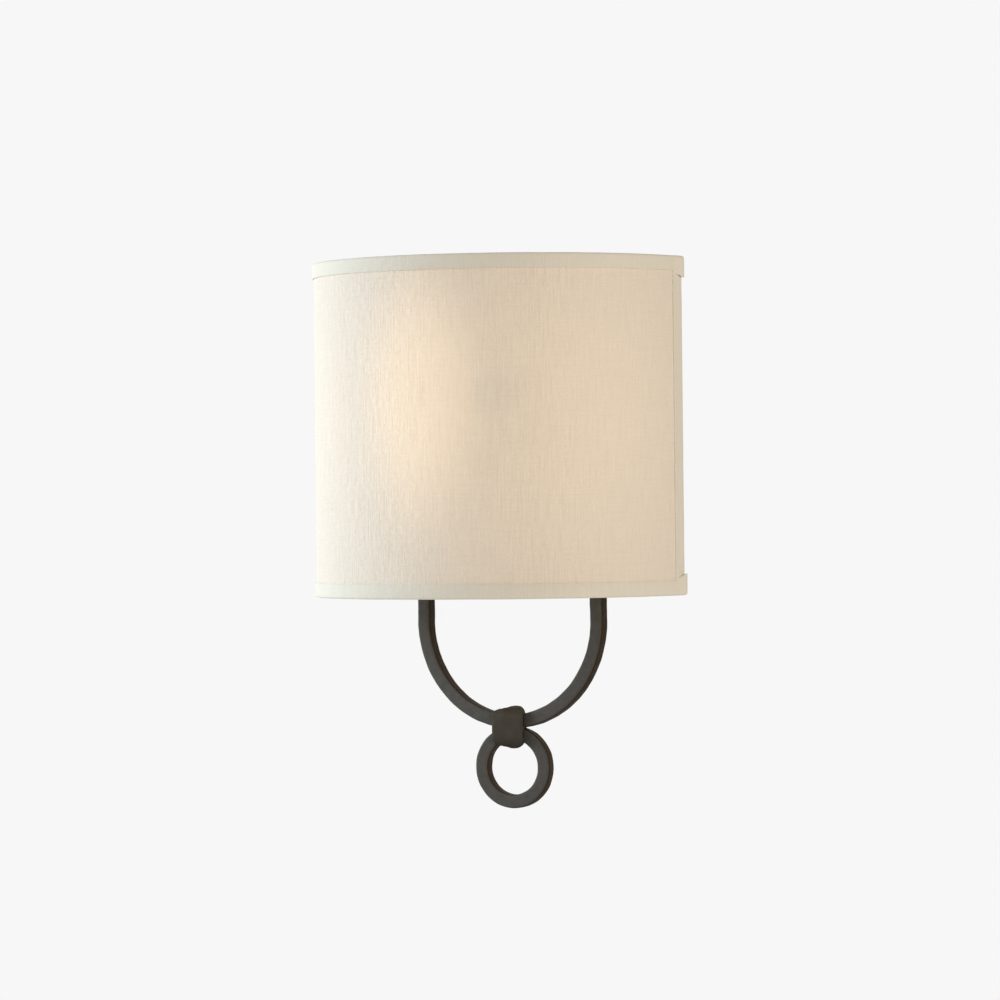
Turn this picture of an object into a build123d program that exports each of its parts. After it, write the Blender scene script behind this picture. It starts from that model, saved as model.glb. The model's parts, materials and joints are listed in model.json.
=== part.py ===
"""Wall light with a half-round linen shade over a forged iron hanger, collar and ring.

Millimetres. The wall is the plane Y = 0 and the light stands out along -Y, with Z up.
The origin is the centre of the wall box, at the back of the mounting strap.
"""

import os
from math import acos, asin, atan2, cos, hypot, radians, sin, sqrt, tan

from build123d import *

# Shade: a half cylinder, open at the back, top and bottom
shade_width = 254.0
shade_height = 216.0
shade_drop = 70.0  # its lower edge lies this far below the wall box's centre
shade_wall_gap = 8.5  # from the wall to its two back edges
fabric_thickness = 0.5
liner_thickness = 0.6
trim_width = 9.6
trim_fold = 7.0  # how far the trim reaches down inside
trim_thickness = 0.9
rim_wire_diameter = 2.3
wire_clearance = 0.05

# Cross bar that hangs the shade on its post
bar_drop = 24.0  # below the shade's upper edge
bar_width = 10.0
bar_thickness = 1.6
bar_bend = 4.0

# Forged iron: hanger, collar and ring
iron_size = 8.0  # square bar of the hanger
iron_ease = 1.5  # its softened corners
leg_spacing = 130.5  # between the centre lines of the hanger's legs
leg_top = 34.0
hanger_straight = 15.8  # straight leg that shows below the shade before the bend
iron_wall_gap = 5.6
ring_diameter = 53.8
ring_bar = 8.6
collar_width = 24.0
collar_thickness = 5.0
collar_corner = 6.5
collar_ease = 2.2
collar_seam = 0.5
collar_clearance = 0.03

# Wall pan and its mounting strap
pan_below_arm = 5.15  # from the flats of the arm's nut to the pan's lower edge
pan_depth = 24.0
pan_wall = 1.2
pan_corner = 12.0
pan_ease = 5.0
strap_length = 104.0
strap_width = 19.0
strap_thickness = 2.0
box_slot_spacing = 79.4  # takes both usual wall boxes, 69.9 and 88.9 mm between screws
box_slot_length = 14.3
box_slot_width = 4.8
stud_spacing = 44.0
stud_radius = 2.08
stud_reach = 6.5  # beyond the pan's face
strap_centre_hole = 5.1
ground_screw_x = 12.0
ground_screw_radius = 2.4

# Lamp arm: running pipe thread, 10 mm outside
pipe_radius = 5.0
pipe_wall = 1.5
pipe_nut_rim = 1.35  # from the thread to the nut's flats
pipe_nut_thickness = 3.0
flange_rim = 1.8
flange_thickness = 4.0
elbow_wall = 2.5
elbow_face = 3.0  # its two faces stand this far past its round body

# Bulb and lampholder, medium screw base
lamp_out = 72.0  # bulb's axis from the wall
light_height = 128.0  # bulb's widest point above the shade's lower edge
light_centre = 78.0  # bulb's widest point above its contact
bulb_radius = 30.0
bulb_length = 108.0
bulb_wall = 0.7
cap_radius = 13.0
cap_height = 24.0
cap_wall = 0.4
socket_clearance = 0.3
screw_shell_wall = 0.5
holder_radius = 17.0
holder_wall = 0.9
sleeve_wall = 1.0
holder_depth = 18.0  # from the bulb's contact down to the lampholder's foot

# Shade post
post_out = 32.5
post_radius = 3.175
post_clearance = 0.07
post_nut_flats = 9.6
post_nut_thickness = 3.0
bracket_width = 18.0
bracket_height = 26.0
bracket_top = 54.0
bracket_thickness = 2.0
finial_radius = 6.8
finial_height = 15.0

# Small screws and leads
screw_radius = 1.95
hole_clearance = 0.15
thread_clearance = 0.03
lead_radius = 1.1
lead_gap = 0.4

# Places that follow from the sizes above
outer = shade_width / 2
liner_inner = outer - fabric_thickness - liner_thickness
shade_bottom = -shade_drop
shade_top = shade_bottom + shade_height
back_y = -shade_wall_gap
wire_pocket = rim_wire_diameter + 2 * wire_clearance
wire_line = liner_inner - wire_pocket / 2  # radius of the rim wires' centre line
fold_inner = liner_inner - wire_pocket - trim_thickness
bar_z = shade_top - bar_drop
iron_y = -(iron_wall_gap + iron_size / 2)
hanger_radius = leg_spacing / 2
bend_z = shade_bottom - hanger_straight
meet_z = bend_z - hanger_radius - iron_size / 2  # where hanger and ring touch
ring_mean = (ring_diameter - ring_bar) / 2
ring_z = meet_z - ring_diameter / 2
pan_width = leg_spacing - iron_size
pan_front = -pan_depth
lamp_y = -lamp_out
contact_z = shade_bottom + light_height - light_centre
holder_foot = contact_z - holder_depth
pipe_bore = pipe_radius - pipe_wall
pipe_nut_flats = 2 * (pipe_radius + pipe_nut_rim)
flange_radius = pipe_radius + flange_rim
elbow_radius = pipe_radius + elbow_wall
elbow_reach = elbow_radius + elbow_face
elbow_z = holder_foot - elbow_reach
pan_height = 2 * (pan_below_arm + pipe_nut_flats / 2 - elbow_z)
post_y = -post_out
lead_x = lead_radius + lead_gap

os.makedirs("parts", exist_ok=True)


def save(piece, label):
    """Names a finished piece and writes its file."""
    piece.part.label = label
    export_step(piece.part, f"parts/{label}.step")


def facing_out(x, z, y=0.0):
    """A place whose own Z axis points out of the wall."""
    return Location((x, y, z), (90, 0, 0))


def hex_nut(flats, thickness, bore):
    """A hexagon nut on the XY plane, its upper corners eased."""
    with BuildPart() as nut:
        with BuildSketch():
            RegularPolygon(flats / 2, 6, major_radius=False)
            Circle(bore, mode=Mode.SUBTRACT)
        extrude(amount=thickness)
        crown = nut.faces().sort_by(Axis.Z)[-1].outer_wire().edges()
        chamfer(crown, thickness / 8)
    return nut.part


def pan_screw(head_radius, head_height, shank, length):
    """A slotted pan head above the XY plane, its shank below."""
    with BuildPart() as screw:
        Cylinder(head_radius, head_height, align=(Align.CENTER, Align.CENTER, Align.MIN))
        chamfer(screw.faces().sort_by(Axis.Z)[-1].edges(), head_height * 0.4)
        with Locations((0, 0, head_height)):
            Box(3 * head_radius, head_radius / 4, head_height * 0.8, mode=Mode.SUBTRACT)
        Cylinder(shank, length, align=(Align.CENTER, Align.CENTER, Align.MAX))
    return screw.part


def lead_tube(points, section):
    """A round lead along straight runs joined by the largest tangent arcs they allow."""
    stops = [Vector(*p) for p in points]
    runs = [b - a for a, b in zip(stops, stops[1:])]
    radii = []
    for before, after in zip(runs, runs[1:]):
        turn = radians(before.get_angle(after))
        shorter = min(before.length, after.length)
        radii.append(0.45 * shorter / tan(turn / 2))
    with BuildPart() as tube:
        with BuildLine() as route:
            FilletPolyline(*points, radius=radii)
        with BuildSketch(Plane(origin=route.line @ 0, z_dir=route.line % 0)):
            Circle(section)
        sweep()
    length = sum(edge.length for edge in route.edges())
    print("lead radii", [round(r, 1) for r in radii], "length", round(length, 1))
    return tube.part


def hanger_solid(growth=0.0):
    """The U of square bar: two legs joined by a half circle."""
    size = iron_size + 2 * growth
    with BuildPart() as bar:
        with BuildLine(Plane.XZ.offset(-iron_y)) as centre_line:
            left = Line((-hanger_radius, leg_top + growth), (-hanger_radius, bend_z))
            bend = TangentArc(left @ 1, (hanger_radius, bend_z), tangent=left % 1)
            Line(bend @ 1, (hanger_radius, leg_top + growth))
        with BuildSketch(Plane(origin=centre_line.line @ 0, z_dir=centre_line.line % 0)) as section:
            Rectangle(size, size)
            chamfer(section.vertices(), iron_ease)
        sweep()
    return bar.part


def ring_solid(growth=0.0):
    """The ring of square bar, turned about its own axis."""
    size = ring_bar + 2 * growth
    depth = iron_size + 2 * growth
    with BuildPart() as hoop:
        with BuildSketch(Plane.XY.offset(ring_z)) as section:
            with Locations((ring_mean, iron_y)):
                Rectangle(size, depth)
            chamfer(section.vertices(), iron_ease)
        revolve(axis=Axis((0, 0, ring_z), (0, 1, 0)))
    return hoop.part


# Mounting strap: flat steel across the wall box
with BuildPart() as mounting_strap:
    with BuildSketch(Plane.XZ):
        RectangleRounded(strap_length, strap_width, strap_width / 6)
        Circle(strap_centre_hole, mode=Mode.SUBTRACT)
        with Locations((-box_slot_spacing / 2, 0), (box_slot_spacing / 2, 0)):
            SlotOverall(box_slot_length, box_slot_width, mode=Mode.SUBTRACT)
        with Locations((-stud_spacing / 2, 0), (stud_spacing / 2, 0)):
            Circle(stud_radius + thread_clearance, mode=Mode.SUBTRACT)
        with Locations((ground_screw_x, 0)):
            Circle(ground_screw_radius + thread_clearance, mode=Mode.SUBTRACT)
    extrude(amount=strap_thickness)
save(mounting_strap, "mounting_strap")

# Two studs carry the pan, each locked to the strap by a nut
stud_places = [facing_out(side * stud_spacing / 2, 0) for side in (-1, 1)]
with BuildPart() as canopy_studs:
    with Locations(*stud_places):
        Cylinder(
            stud_radius,
            pan_depth + stud_reach,
            align=(Align.CENTER, Align.CENTER, Align.MIN),
        )
save(canopy_studs, "canopy_studs")

stud_nut_flats = 8.7
stud_nut_thickness = 3.2
stud_nut = hex_nut(stud_nut_flats, stud_nut_thickness, stud_radius + thread_clearance)
with BuildPart() as stud_lock_nuts:
    with Locations(*[facing_out(side * stud_spacing / 2, 0, -strap_thickness) for side in (-1, 1)]):
        add(stud_nut)
save(stud_lock_nuts, "stud_lock_nuts")

# Ground screw with a hexagon washer head, through an eyelet on the strap
eyelet_thickness = 0.8
eyelet_radius = 4.3
ground_washer_radius = 4.4
ground_washer_thickness = 1.0
ground_hex_flats = 7.0
ground_hex_height = 2.4
with BuildPart() as ground_screw:
    with Locations(facing_out(ground_screw_x, 0)):
        Cylinder(
            ground_screw_radius,
            strap_thickness + eyelet_thickness,
            align=(Align.CENTER, Align.CENTER, Align.MIN),
        )
    with BuildSketch(Plane.XZ.offset(strap_thickness + eyelet_thickness)):
        with Locations((ground_screw_x, 0)):
            Circle(ground_washer_radius)
    extrude(amount=ground_washer_thickness)
    with BuildSketch(Plane.XZ.offset(strap_thickness + eyelet_thickness + ground_washer_thickness)):
        with Locations((ground_screw_x, 0)):
            RegularPolygon(ground_hex_flats / 2, 6, major_radius=False)
    extrude(amount=ground_hex_height)
save(ground_screw, "ground_screw")

# Wall pan: drawn sheet steel, open to the wall, with eased front edges
hanger_screw_heights = (-30.0, 16.0)
bracket_screw_heights = (33.0, 44.0)
with BuildPart() as wall_pan:
    with BuildSketch(Plane.XZ):
        RectangleRounded(pan_width, pan_height, pan_corner)
    extrude(amount=pan_depth)
    fillet(wall_pan.faces().sort_by(Axis.Y)[0].edges(), pan_ease)
    offset(amount=-pan_wall, openings=wall_pan.faces().sort_by(Axis.Y)[-1])
    with Locations(*stud_places):
        Cylinder(stud_radius + hole_clearance, 3 * pan_depth, mode=Mode.SUBTRACT)
    with Locations(facing_out(0, elbow_z, pan_front)):
        Cylinder(pipe_radius + hole_clearance, 4 * pan_wall, mode=Mode.SUBTRACT)
    with Locations(*[facing_out(0, z, pan_front) for z in bracket_screw_heights]):
        Cylinder(screw_radius + hole_clearance, 4 * pan_wall, mode=Mode.SUBTRACT)
    with Locations(*[Location((0, iron_y, z), (0, 90, 0)) for z in hanger_screw_heights]):
        Cylinder(screw_radius + hole_clearance, 2 * pan_width, mode=Mode.SUBTRACT)
save(wall_pan, "wall_pan")

# Domed nuts close the studs on the pan's face
dome_hex = 3.4
dome_neck = 1.6
dome_radius = 3.9
with BuildPart() as dome:
    with BuildSketch():
        RegularPolygon(stud_nut_flats / 2, 6, major_radius=False)
    extrude(amount=dome_hex)
    with Locations((0, 0, dome_hex)):
        Cylinder(dome_radius, dome_neck, align=(Align.CENTER, Align.CENTER, Align.MIN))
        with Locations((0, 0, dome_neck)):
            Sphere(dome_radius, arc_size1=0, align=(Align.CENTER, Align.CENTER, Align.MIN))
    Cylinder(
        stud_radius + thread_clearance,
        stud_reach + thread_clearance,
        align=(Align.CENTER, Align.CENTER, Align.MIN),
        mode=Mode.SUBTRACT,
    )
with BuildPart() as pan_nuts:
    with Locations(*[facing_out(side * stud_spacing / 2, 0, pan_front) for side in (-1, 1)]):
        add(dome.part)
save(pan_nuts, "pan_nuts")

# Hanger: its legs stand against the pan's sides, tapped for the screws
hanger_grip = 6.0
tap_depth = hanger_grip + 0.3
with BuildPart() as hanger_bar:
    add(hanger_solid())
    ends = hanger_bar.faces().filter_by(Axis.Z).sort_by(Axis.Z)[-2:]
    chamfer(ends.edges(), iron_ease * 0.6)
    for side in (-1, 1):
        for z in hanger_screw_heights:
            with Locations(Location((side * pan_width / 2, iron_y, z), (0, 90 * side, 0))):
                Cylinder(
                    screw_radius + thread_clearance,
                    tap_depth,
                    align=(Align.CENTER, Align.CENTER, Align.MIN),
                    mode=Mode.SUBTRACT,
                )
save(hanger_bar, "hanger_bar")

screw_head_radius = 3.5
screw_head_height = 2.0
hanger_screw = pan_screw(
    screw_head_radius, screw_head_height, screw_radius, pan_wall + hanger_grip
)
pan_inside = pan_width / 2 - pan_wall
with BuildPart() as hanger_screws:
    for side in (-1, 1):
        for z in hanger_screw_heights:
            with Locations(Location((side * pan_inside, iron_y, z), (0, -90 * side, 0))):
                add(hanger_screw)
save(hanger_screws, "hanger_screws")

# Ring
with BuildPart() as ring:
    add(ring_solid())
save(ring, "ring")

# Collar: a strap forged round both bars, its ends meeting at the back
collar_height = iron_size + ring_bar + 2 * collar_thickness
collar_depth = iron_size + 2 * collar_thickness
collar_middle = meet_z + (iron_size - ring_bar) / 2
hanger_space = hanger_solid(collar_clearance)
ring_space = ring_solid(collar_clearance)
with BuildPart() as collar:
    with BuildSketch(Plane.YZ.offset(-collar_width / 2)):
        with Locations((iron_y, collar_middle)):
            RectangleRounded(collar_depth, collar_height, collar_corner)
    extrude(amount=collar_width)
    fillet(collar.faces().filter_by(Axis.X).edges(), collar_ease)
    add(hanger_space, mode=Mode.SUBTRACT)
    add(ring_space, mode=Mode.SUBTRACT)
    with Locations((0, iron_y + iron_size / 2 + collar_thickness / 2, collar_middle)):
        Box(collar_width, collar_thickness + 1, collar_seam, mode=Mode.SUBTRACT)
save(collar, "collar")

# Lamp arm: a threaded pipe, locked inside the pan and against a turned flange outside
thread_end = 2.0  # of bare thread past a nut
pipe_gap = 0.2
arm_start = pan_front + pan_wall + pipe_nut_thickness + thread_end
arm_end = lamp_y + pipe_radius + pipe_gap
with BuildPart() as lamp_arm:
    with BuildSketch(Plane.XZ.offset(-arm_start)):
        with Locations((0, elbow_z)):
            Circle(pipe_radius)
            Circle(pipe_bore, mode=Mode.SUBTRACT)
    extrude(amount=arm_start - arm_end)
save(lamp_arm, "lamp_arm")

arm_nut_solid = hex_nut(pipe_nut_flats, pipe_nut_thickness, pipe_radius + thread_clearance)
with BuildPart() as arm_lock_nut:
    with Locations(Location((0, pan_front + pan_wall, elbow_z), (-90, 0, 0))):
        add(arm_nut_solid)
save(arm_lock_nut, "arm_lock_nut")

with BuildPart() as arm_flange:
    with BuildSketch(Plane.XZ.offset(pan_depth)):
        with Locations((0, elbow_z)):
            Circle(flange_radius)
            Circle(pipe_radius + thread_clearance, mode=Mode.SUBTRACT)
    extrude(amount=flange_thickness)
    front_edges = arm_flange.faces().sort_by(Axis.Y)[0].edges()
    chamfer(front_edges.sort_by(SortBy.RADIUS)[-1], (flange_radius - pipe_radius) * 0.7)
save(arm_flange, "arm_flange")

# Cast elbow: turns the pipe up under the lampholder
with BuildPart() as arm_elbow:
    with Locations((0, lamp_y, elbow_z)):
        Sphere(elbow_radius)
        Cylinder(elbow_radius, elbow_reach, align=(Align.CENTER, Align.CENTER, Align.MIN))
    with Locations(Location((0, lamp_y, elbow_z), (-90, 0, 0))):
        Cylinder(elbow_radius, elbow_reach, align=(Align.CENTER, Align.CENTER, Align.MIN))
    with Locations((0, lamp_y, elbow_z)):
        Sphere(pipe_radius + thread_clearance, mode=Mode.SUBTRACT)
        Cylinder(
            pipe_radius + thread_clearance,
            elbow_reach,
            align=(Align.CENTER, Align.CENTER, Align.MIN),
            mode=Mode.SUBTRACT,
        )
    with Locations(Location((0, lamp_y, elbow_z), (-90, 0, 0))):
        Cylinder(
            pipe_radius + thread_clearance,
            elbow_reach,
            align=(Align.CENTER, Align.CENTER, Align.MIN),
            mode=Mode.SUBTRACT,
        )
save(arm_elbow, "arm_elbow")

# Lampholder, from its foot up
nipple_grip = 4.5  # thread inside the cap
nipple_foot = elbow_z + pipe_radius + pipe_gap
nipple_top = holder_foot + nipple_grip
with BuildPart() as holder_nipple:
    with BuildSketch(Plane.XY.offset(nipple_foot)):
        with Locations((0, lamp_y)):
            Circle(pipe_radius)
            Circle(pipe_bore, mode=Mode.SUBTRACT)
    extrude(amount=nipple_top - nipple_foot)
save(holder_nipple, "holder_nipple")

holder_plane = Plane(origin=(0, lamp_y, 0), x_dir=(1, 0, 0), z_dir=(0, -1, 0))
holder_axis = Axis((0, lamp_y, 0), (0, 0, 1))
tongue_room = 2.2  # between the bulb's contact and the base
base_thickness = 4.8
base_top = contact_z - tongue_room
base_bottom = base_top - base_thickness
cap_outer = holder_radius + holder_wall
cap_bore = pipe_radius + thread_clearance
skirt_bore = holder_radius + thread_clearance
skirt_gap = 1.0  # from the skirt's edge up to the bulb's contact
skirt_top = contact_z - skirt_gap
neck_step = 0.3
neck_radius = elbow_radius - neck_step
neck_height = 3.4
neck_top = holder_foot + neck_height
bowl_shoulder = 3.0  # where the bowl turns from flat to steep
bowl_flat = 6.0
bowl_steep = 10.0
bowl_x = cap_outer - bowl_shoulder
bowl_z = holder_foot + bowl_flat
bowl_top = holder_foot + bowl_steep
with BuildPart() as holder_cap:
    with BuildSketch(holder_plane):
        with BuildLine():
            Polyline(
                (cap_bore, holder_foot),
                (neck_radius, holder_foot),
                (neck_radius, neck_top),
                (bowl_x, bowl_z),
                (cap_outer, bowl_top),
                (cap_outer, skirt_top),
                (skirt_bore, skirt_top),
                (skirt_bore, bowl_top + holder_wall),
                (bowl_x - holder_wall, bowl_z + holder_wall),
                (cap_bore, neck_top + holder_wall),
                close=True,
            )
        make_face()
    revolve(axis=holder_axis)
save(holder_cap, "holder_cap")

# Insulating base of the lampholder, with two lead holes
lead_hole_x = 3.4
lead_hole_depth = 2.5
terminal_x = 8.5
terminal_radius = 1.35
terminal_depth = 2.8
with BuildPart() as holder_base:
    with BuildSketch(Plane.XY.offset(base_bottom)):
        with Locations((0, lamp_y)):
            Circle(holder_radius - holder_wall - thread_clearance)
    extrude(amount=base_thickness)
    with Locations(*[(side * lead_hole_x, lamp_y, base_bottom) for side in (-1, 1)]):
        Cylinder(lead_radius + hole_clearance, 2 * lead_hole_depth, mode=Mode.SUBTRACT)
    with Locations(*[(side * terminal_x, lamp_y, base_bottom) for side in (-1, 1)]):
        Cylinder(terminal_radius + wire_clearance, 2 * terminal_depth + 0.4, mode=Mode.SUBTRACT)
save(holder_base, "holder_base")

terminal_screw = pan_screw(2.3, 1.5, terminal_radius, terminal_depth)
terminal_places = [
    Location((side * terminal_x, lamp_y, base_bottom), (180, 0, 0)) for side in (-1, 1)
]
with BuildPart() as terminal_screws:
    with Locations(*terminal_places):
        add(terminal_screw)
save(terminal_screws, "terminal_screws")

# Outer shell with a rolled lip, and the insulating sleeve inside it
shell_over_cap = 2.0
sleeve_below_shell = 1.0
shell_top = contact_z + cap_height + shell_over_cap
lip_radius = 1.1
with BuildPart() as holder_shell:
    with BuildSketch(holder_plane):
        with BuildLine():
            Polyline(
                (holder_radius - holder_wall, base_bottom),
                (holder_radius, base_bottom),
                (holder_radius, shell_top - lip_radius),
            )
            ThreePointArc(
                (holder_radius, shell_top - lip_radius),
                (holder_radius + lip_radius, shell_top),
                (holder_radius, shell_top + lip_radius),
            )
            Polyline(
                (holder_radius, shell_top + lip_radius),
                (holder_radius - holder_wall, shell_top + lip_radius),
                (holder_radius - holder_wall, base_bottom),
            )
        make_face()
    revolve(axis=holder_axis)
save(holder_shell, "holder_shell")

sleeve_inner = holder_radius - holder_wall - sleeve_wall
with BuildPart() as holder_sleeve:
    with BuildSketch(Plane.XY.offset(base_top + wire_clearance)):
        with Locations((0, lamp_y)):
            Circle(holder_radius - holder_wall - thread_clearance)
            Circle(sleeve_inner, mode=Mode.SUBTRACT)
    extrude(amount=shell_top - base_top - sleeve_below_shell)
save(holder_sleeve, "holder_sleeve")

# Screw shell: a thin brass cup with its rim turned out to the sleeve
screw_inner = cap_radius + socket_clearance
screw_outer = screw_inner + screw_shell_wall
screw_below_cap = 3.0
screw_top = contact_z + cap_height - screw_below_cap
screw_hole = 7.0
turned_rim = sleeve_inner - wire_clearance
with BuildPart() as screw_shell:
    with BuildSketch(holder_plane):
        with BuildLine():
            Polyline(
                (screw_hole, base_top),
                (screw_outer, base_top),
                (screw_outer, screw_top),
                (turned_rim, screw_top),
                (turned_rim, screw_top + screw_shell_wall),
                (screw_inner, screw_top + screw_shell_wall),
                (screw_inner, base_top + screw_shell_wall),
                (screw_hole, base_top + screw_shell_wall),
                close=True,
            )
        make_face()
    revolve(axis=holder_axis)
save(screw_shell, "screw_shell")

# Centre contact: a sprung brass tongue, bent up to meet the bulb
tongue = 0.5
tongue_width = 5.0
tongue_tail = -5.5
tongue_heel = -2.5
tongue_rise = 0.2
tongue_tip = 3.0
tongue_bend = 0.9
tongue_low = base_top + tongue / 2
tongue_high = contact_z - tongue / 2 - wire_clearance
with BuildPart() as centre_contact:
    with BuildSketch(Plane.XZ.offset(-lamp_y - tongue_width / 2)):
        with BuildLine():
            FilletPolyline(
                (tongue_tail, tongue_low),
                (tongue_heel, tongue_low),
                (tongue_rise, tongue_high),
                (tongue_tip, tongue_high),
                radius=tongue_bend,
            )
        trace(line_width=tongue)
    extrude(amount=tongue_width)
save(centre_contact, "centre_contact")

# Leads from the lampholder, through elbow and arm, to the connectors inside the pan
lead_back_y = -10.5
connector_z = elbow_z + 15.5
connector_mouth = 12.0
connector_length = 20.0


def lamp_lead(side):
    """One of the two leads, mirrored to its side."""
    return lead_tube(
        [
            (side * lead_hole_x, lamp_y, base_bottom + 2.2),
            (side * lead_hole_x, lamp_y, base_bottom - 2.0),
            (side * lead_x, lamp_y, nipple_top - 0.5),
            (side * lead_x, lamp_y, elbow_z),
            (side * lead_x, lead_back_y, elbow_z),
            (side * lead_x, lead_back_y, connector_z),
            (side * (connector_mouth + connector_length / 2), lead_back_y, connector_z),
        ],
        lead_radius,
    )


lead_left = lamp_lead(-1)
lead_right = lamp_lead(1)
with BuildPart() as lead_white:
    add(lead_left)
save(lead_white, "lead_white")
with BuildPart() as lead_black:
    add(lead_right)
save(lead_black, "lead_black")

# Twist-on connectors: ribbed cones with a blind bore
connector_wide = 5.6
connector_narrow = 3.4
connector_bore = lead_radius + 0.3
connector_lip = 0.4
connector_skirt = 3.0
connector_tip = 1.0
connector_flutes = 6
flute_radius = 0.8
with BuildPart() as connector:
    with BuildSketch(Plane.XZ):
        with BuildLine():
            Polyline(
                (connector_bore, 0),
                (connector_wide - connector_lip, 0),
                (connector_wide, connector_skirt),
                (connector_narrow, connector_length - connector_tip),
                (connector_narrow - connector_tip, connector_length),
                (0, connector_length),
                (0, connector_length * 0.7),
                (connector_bore, connector_length * 0.6),
                close=True,
            )
        make_face()
    revolve(axis=Axis.Z)
    with PolarLocations(connector_wide + 0.3, connector_flutes):
        Cylinder(flute_radius, 3 * connector_length, mode=Mode.SUBTRACT)
connector_places = [
    Location((side * connector_mouth, lead_back_y, connector_z), (0, 90 * side, 0))
    for side in (-1, 1)
]
with BuildPart() as wire_connectors:
    with Locations(*connector_places):
        add(connector.part)
save(wire_connectors, "wire_connectors")

# Ground lead between two eyelets: one under the ground screw, one under a bracket nut
barrel_radius = 1.6
barrel_start = 4.7
barrel_end = 9.5
ground_lead_radius = 0.9
with BuildPart() as eyelet:
    Cylinder(eyelet_radius, eyelet_thickness, align=(Align.CENTER, Align.CENTER, Align.MIN))
    Box(
        2 * barrel_radius,
        barrel_start + 1.0,
        eyelet_thickness,
        align=(Align.CENTER, Align.MIN, Align.MIN),
    )
    with Locations(Location((0, barrel_start, barrel_radius), (-90, 0, 0))):
        Cylinder(barrel_radius, barrel_end - barrel_start, align=(Align.CENTER, Align.CENTER, Align.MIN))
        Cylinder(
            ground_lead_radius + thread_clearance,
            barrel_end - barrel_start,
            align=(Align.CENTER, Align.CENTER, Align.MIN),
            mode=Mode.SUBTRACT,
        )
    Cylinder(ground_screw_radius + thread_clearance, 6 * eyelet_thickness, mode=Mode.SUBTRACT)
pan_eyelet_z = bracket_screw_heights[0]
pan_back = pan_front + pan_wall
strap_eyelet = Location((ground_screw_x, -strap_thickness, 0), (90, 0, 0))
pan_eyelet = Location((0, pan_back, pan_eyelet_z), (-90, 0, 0))
with BuildPart() as ring_terminals:
    with Locations(strap_eyelet, pan_eyelet):
        add(eyelet.part)
save(ring_terminals, "ring_terminals")

strap_lead_y = -strap_thickness - barrel_radius
pan_lead_y = pan_back + barrel_radius
crimp = barrel_start + 2.0  # where the lead ends in its barrel
lead_bend = barrel_end + 4.5
ground_points = [
    (ground_screw_x, strap_lead_y, crimp),
    (ground_screw_x, strap_lead_y, lead_bend),
    (0, pan_lead_y, pan_eyelet_z - lead_bend),
    (0, pan_lead_y, pan_eyelet_z - crimp),
]
ground_route = lead_tube(ground_points, ground_lead_radius)
with BuildPart() as ground_lead:
    add(ground_route)
save(ground_lead, "ground_lead")

# Bulb: screw cap, insulator, contact, glass, stem and filament
cap_bottom = contact_z + 3.0
cap_top = cap_bottom + cap_height
glass_centre = contact_z + light_centre
neck_bottom = cap_top - 6.0
cap_foot = 9.0  # radius of the hole for the insulator
cap_cone = 3.0
cap_lip = 0.6
cap_floor = 0.2
button_radius = 4.5
button_height = 1.2
insulator_rim = 0.1
with BuildPart() as bulb_cap:
    with BuildSketch(holder_plane):
        with BuildLine():
            Polyline(
                (cap_foot, cap_bottom - cap_lip),
                (cap_radius, cap_bottom + cap_cone),
                (cap_radius, cap_top),
                (cap_radius - cap_wall, cap_top),
                (cap_radius - cap_wall, cap_bottom + cap_cone + cap_floor),
                (cap_foot, cap_bottom + cap_floor),
                close=True,
            )
        make_face()
    revolve(axis=holder_axis)
save(bulb_cap, "bulb_cap")

button_top = contact_z + button_height
with BuildPart() as bulb_insulator:
    with BuildSketch(holder_plane):
        with BuildLine():
            Polyline(
                (0, button_top),
                (button_radius + insulator_rim, button_top),
                (cap_foot - insulator_rim, cap_bottom - cap_lip),
                (cap_foot - insulator_rim, cap_bottom + cap_lip),
                (0, cap_bottom + cap_lip),
                close=True,
            )
        make_face()
    revolve(axis=holder_axis)
save(bulb_insulator, "bulb_insulator")

with BuildPart() as bulb_contact:
    with BuildSketch(holder_plane):
        with BuildLine():
            ThreePointArc(
                (0, contact_z),
                (button_radius * 0.6, contact_z + button_height * 0.25),
                (button_radius, button_top),
            )
            Polyline((button_radius, button_top), (0, button_top), (0, contact_z))
        make_face()
    revolve(axis=holder_axis)
save(bulb_contact, "bulb_contact")

glass_top = contact_z + bulb_length
glass_neck = cap_radius - cap_wall - thread_clearance
neck_rise = 1.0  # straight neck above the cap


def glass_edge(inset):
    """The glass outline, set in by the wall: neck, cone and round, as one open line."""
    radius = bulb_radius - inset
    neck = glass_neck - inset
    flare = (neck, cap_top + neck_rise)
    below = glass_centre - flare[1]
    touch = acos(radius / hypot(neck, below)) - atan2(below, neck)
    join = (radius * cos(touch), glass_centre + radius * sin(touch))
    Polyline((neck, neck_bottom), flare, join)
    ThreePointArc(join, (radius * cos(touch / 2), glass_centre + radius * sin(touch / 2)), (radius, glass_centre))
    RadiusArc((radius, glass_centre), (0, glass_centre + radius), -radius)


with BuildPart() as bulb_glass:
    with BuildSketch(holder_plane):
        with BuildLine():
            glass_edge(0)
            glass_edge(bulb_wall)
            Line((glass_neck, neck_bottom), (glass_neck - bulb_wall, neck_bottom))
            Line((0, glass_top), (0, glass_top - bulb_wall))
        make_face()
    revolve(axis=holder_axis)
save(bulb_glass, "bulb_glass")

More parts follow.
